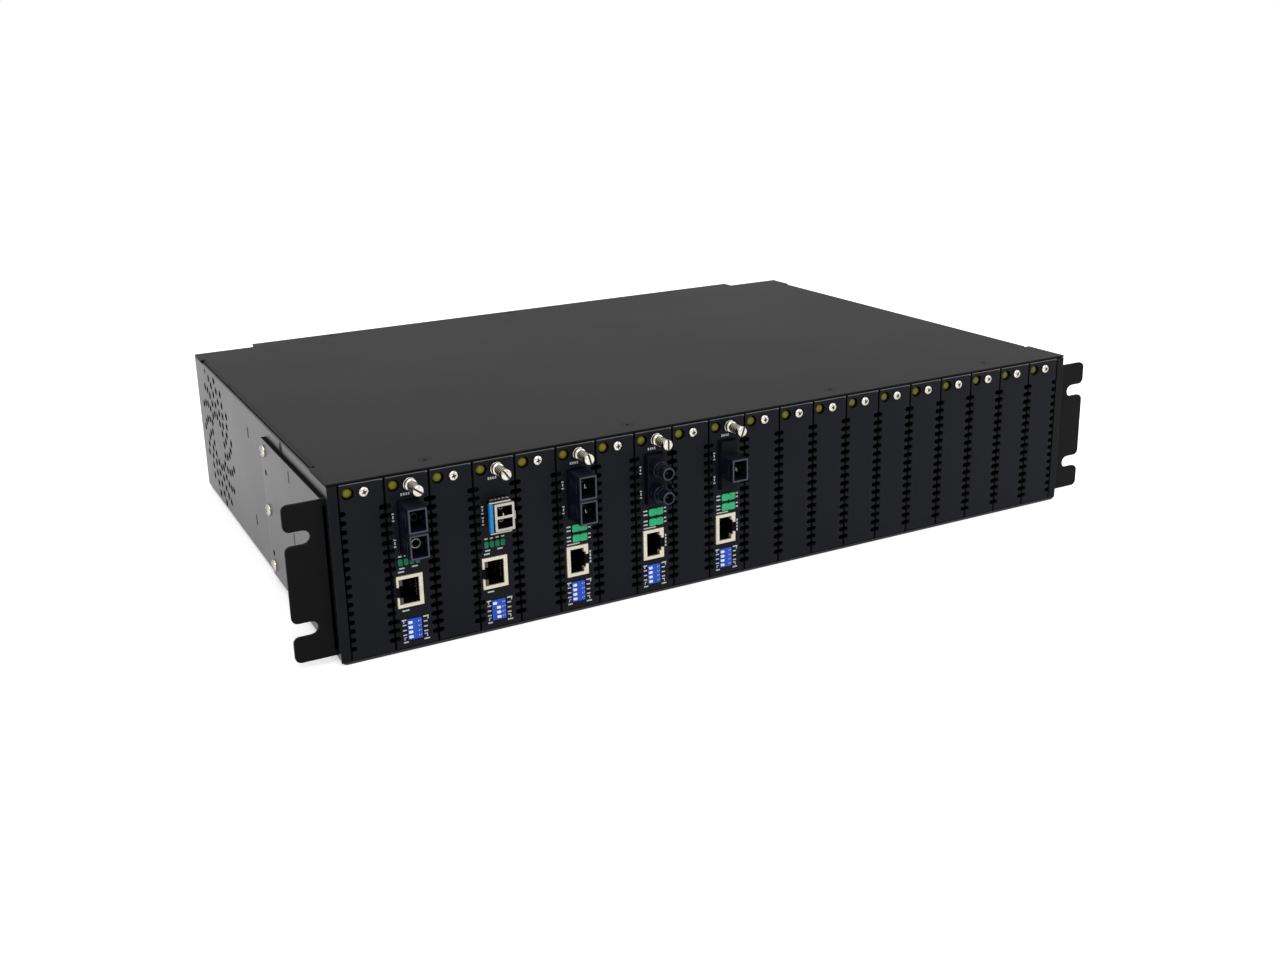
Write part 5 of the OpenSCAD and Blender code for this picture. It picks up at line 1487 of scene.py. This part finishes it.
@dataclass
class Supplies:
    """The two power supplies at the rear, with their inlet pins and rocker marks."""

    inlet_x: float = -148.17
    spacing: float = 181.4
    pin_z: float = 29.6
    pin_gap: float = 7.0
    pin_start: float = 295.0
    pin_end: float = 306.1
    pivot: tuple[float, float] = (308.0, 56.6)
    ridge: float = 3.9
    rim: float = 2.6
    half: float = 5.5
    tilt: float = 9.0

    def pins(self) -> Form:
        """The three flat pins of an inlet."""
        form = Form()
        for side in (-1, 0, 1):
            up = 2.0 if side == 0 else 0.0
            form.box((side * self.pin_gap - 1.03, self.pin_start, self.pin_z + up - 2.03),
                     (side * self.pin_gap + 1.03, self.pin_end, self.pin_z + up + 2.03), 0.4)
        return form

    def rocker_marks(self) -> Form:
        """A bar and a ring printed on the two halves of a rocker."""
        lean = math.degrees(math.atan2(self.ridge - self.rim, self.half))
        form = Form()
        bar = Form().box((-0.35, -0.03, -1.3), (0.35, 0.05, 1.3))
        ring = Form().sheet([circle(0, 0, 1.5, 24), circle(0, 0, 0.95, 24)], -0.03, 0.05, soft=0.0)
        middle = (self.ridge + self.rim) / 2
        for mark, side in ((bar, 1), (ring, -1)):
            form.add(mark, shift(y=middle, z=side * self.half / 2) @ turned(side * lean, "X"))
        return Form().add(form, shift(y=self.pivot[0], z=self.pivot[1]) @ turned(self.tilt, "X"))

    def dress(self) -> None:
        """Gives each supply its finishes, pins and marks."""
        for i, side in enumerate(("left", "right")):
            place = shift(self.inlet_x + i * self.spacing)
            paint_nodes(SUPPLY, f"{side}_supply_case")
            paint_nodes(INLET, f"{side}_power_inlet", f"{side}_power_rocker")
            Form().add(self.pins(), place).piece(f"{side}_inlet_pins", STEEL, f"{side}_supply")
            Form().add(self.rocker_marks(), place).piece(f"{side}_rocker_marks", INK,
                                                         f"{side}_rocker")


@dataclass
class Inside:
    """What stands behind the plates and grilles."""

    def dress(self) -> None:
        """Gives the inner parts their finishes."""
        paint_nodes(BOARD, "inner_boards")
        paint_nodes(GUIDE, "card_guides")
        paint_nodes(SOCKET, "backplane_sockets")
        paint_nodes(FAN, "fan_frames", "left_fan_rotor", "right_fan_rotor")


# Studio


def seen_light(tree: bpy.types.NodeTree) -> tuple[bpy.types.Node, bpy.types.NodeSocket]:
    """A Light Path node, and a mask of what the camera and reflections see."""
    path = wire(tree, "ShaderNodeLightPath")
    return path, math_node(tree, "MAXIMUM", path.outputs["Is Camera Ray"],
                           path.outputs["Is Glossy Ray"])


@dataclass
class Studio:
    """White floor, soft lamps, pale surroundings and the camera of the photograph."""

    eye: tuple[float, float, float] = (-365.03, -563.0, 280.49)
    turn: float = 0.456
    tilt: float = 0.283
    roll: float = -0.032
    focal: float = 1345.7
    centre: tuple[float, float] = (589.84, 420.22)
    picture: tuple[float, float] = (1280.0, 960.0)
    sensor: float = 36.0
    target: Point = (0.0, 0.0, 0.04)
    floor_half: float = 6.0
    floor_glow: float = 0.55
    world_glow: float = 0.55

    def camera(self) -> None:
        """Places the camera."""
        data = bpy.data.cameras.new("camera")
        data.sensor_width = self.sensor
        data.lens = self.focal * self.sensor / self.picture[0]
        data.shift_x = (self.picture[0] / 2 - self.centre[0]) / self.picture[0]
        data.shift_y = (self.centre[1] - self.picture[1] / 2) / self.picture[0]
        data.clip_start, data.clip_end = 0.01, 50.0
        ahead = Vector((math.sin(self.turn) * math.cos(self.tilt),
                        math.cos(self.turn) * math.cos(self.tilt), -math.sin(self.tilt)))
        right = Vector((math.cos(self.turn), -math.sin(self.turn), 0.0))
        up = right.cross(ahead)
        c, s = math.cos(self.roll), math.sin(self.roll)
        right_r, up_r = right * c + up * s, up * c - right * s
        holder = placed("camera", data)
        place = Matrix((right_r, up_r, -ahead)).transposed().to_4x4()
        place.translation = (Vector(self.eye) + Vector((0, FRONT, 0))) * MM
        holder.matrix_world = place
        bpy.context.scene.camera = holder

    def lamp(self, name: str, at: Point, size: float, power: float) -> None:
        """Adds a soft square lamp that points at the target."""
        data = bpy.data.lights.new(name, "AREA")
        data.shape, data.size, data.energy = "SQUARE", size, power
        holder = placed(name, data)
        holder.location = at
        holder.rotation_mode = "QUATERNION"
        holder.rotation_quaternion = (Vector(self.target) - Vector(at)).to_track_quat("-Z", "Y")

    def surroundings(self) -> None:
        """Pale world light that the camera and reflections see as white."""
        world = bpy.data.worlds.new("surroundings")
        world.use_nodes = True
        bpy.context.scene.world = world
        tree = world.node_tree
        tree.nodes.clear()
        path, seen = seen_light(tree)
        white = math_node(tree, "MAXIMUM", seen, path.outputs["Is Transmission Ray"])
        strength = wire(tree, "ShaderNodeMapRange",
                        {"Value": white, "To Min": self.world_glow, "To Max": 1.0})
        glow = wire(tree, "ShaderNodeBackground", {"Color": (1.0, 1.0, 1.0, 1.0),
                                                   "Strength": strength.outputs[0]})
        out = wire(tree, "ShaderNodeOutputWorld")
        tree.links.new(glow.outputs[0], out.inputs["Surface"])

    def floor(self) -> None:
        """A wide white floor that keeps the object's shadow."""
        mesh = bpy.data.meshes.new("floor")
        s = self.floor_half
        mesh.from_pydata([(-s, -s, 0), (s, -s, 0), (s, s, 0), (-s, s, 0)], [], [(0, 1, 2, 3)])
        made = bpy.data.materials.new("white_floor")
        made.use_nodes = True
        tree = made.node_tree
        shader = tree.nodes["Principled BSDF"]
        shader.inputs["Base Color"].default_value = (0.80, 0.80, 0.81, 1.0)
        shader.inputs["Roughness"].default_value = 0.45
        shader.inputs["Specular IOR Level"].default_value = 0.3
        extra = math_node(tree, "MULTIPLY", seen_light(tree)[1], self.floor_glow)
        shader.inputs["Emission Color"].default_value = (1.0, 1.0, 1.0, 1.0)
        tree.links.new(extra, shader.inputs["Emission Strength"])
        mesh.materials.append(made)
        holder = placed("floor", mesh)
        holder.location.z = -0.0003

    def build(self) -> None:
        """Sets up the whole studio."""
        self.camera()
        self.surroundings()
        self.floor()
        self.lamp("key", (-0.5, -1.3, 1.5), 1.2, 14.0)
        self.lamp("top", (0.2, 0.2, 1.6), 1.6, 10.0)
        self.lamp("fill", (1.3, -0.9, 0.8), 1.0, 6.0)
        bpy.context.scene.view_settings.view_transform = "Standard"


def main() -> None:
    """Builds and dresses every sub-assembly in order."""
    logging.basicConfig(level=logging.INFO, format="%(name)s: %(message)s")
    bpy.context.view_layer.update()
    Studio().build()
    Body().dress()
    Ears().dress()
    BlankPanels().dress()
    modules: Iterable[Module] = (
        Module(2, Port.SQUARE_PAIR, True),
        Module(4, Port.TRANSCEIVER, True, lever_shifts=(1.92, 1.92, 1.92, 0.0)),
        Module(6, Port.SQUARE_PAIR, False),
        Module(8, Port.ROUND_PAIR, False),
        Module(10, Port.SQUARE_SINGLE, False))
    for module in modules:
        module.dress()
    Supplies().dress()
    Inside().dress()


if __name__ == "__main__":
    main()
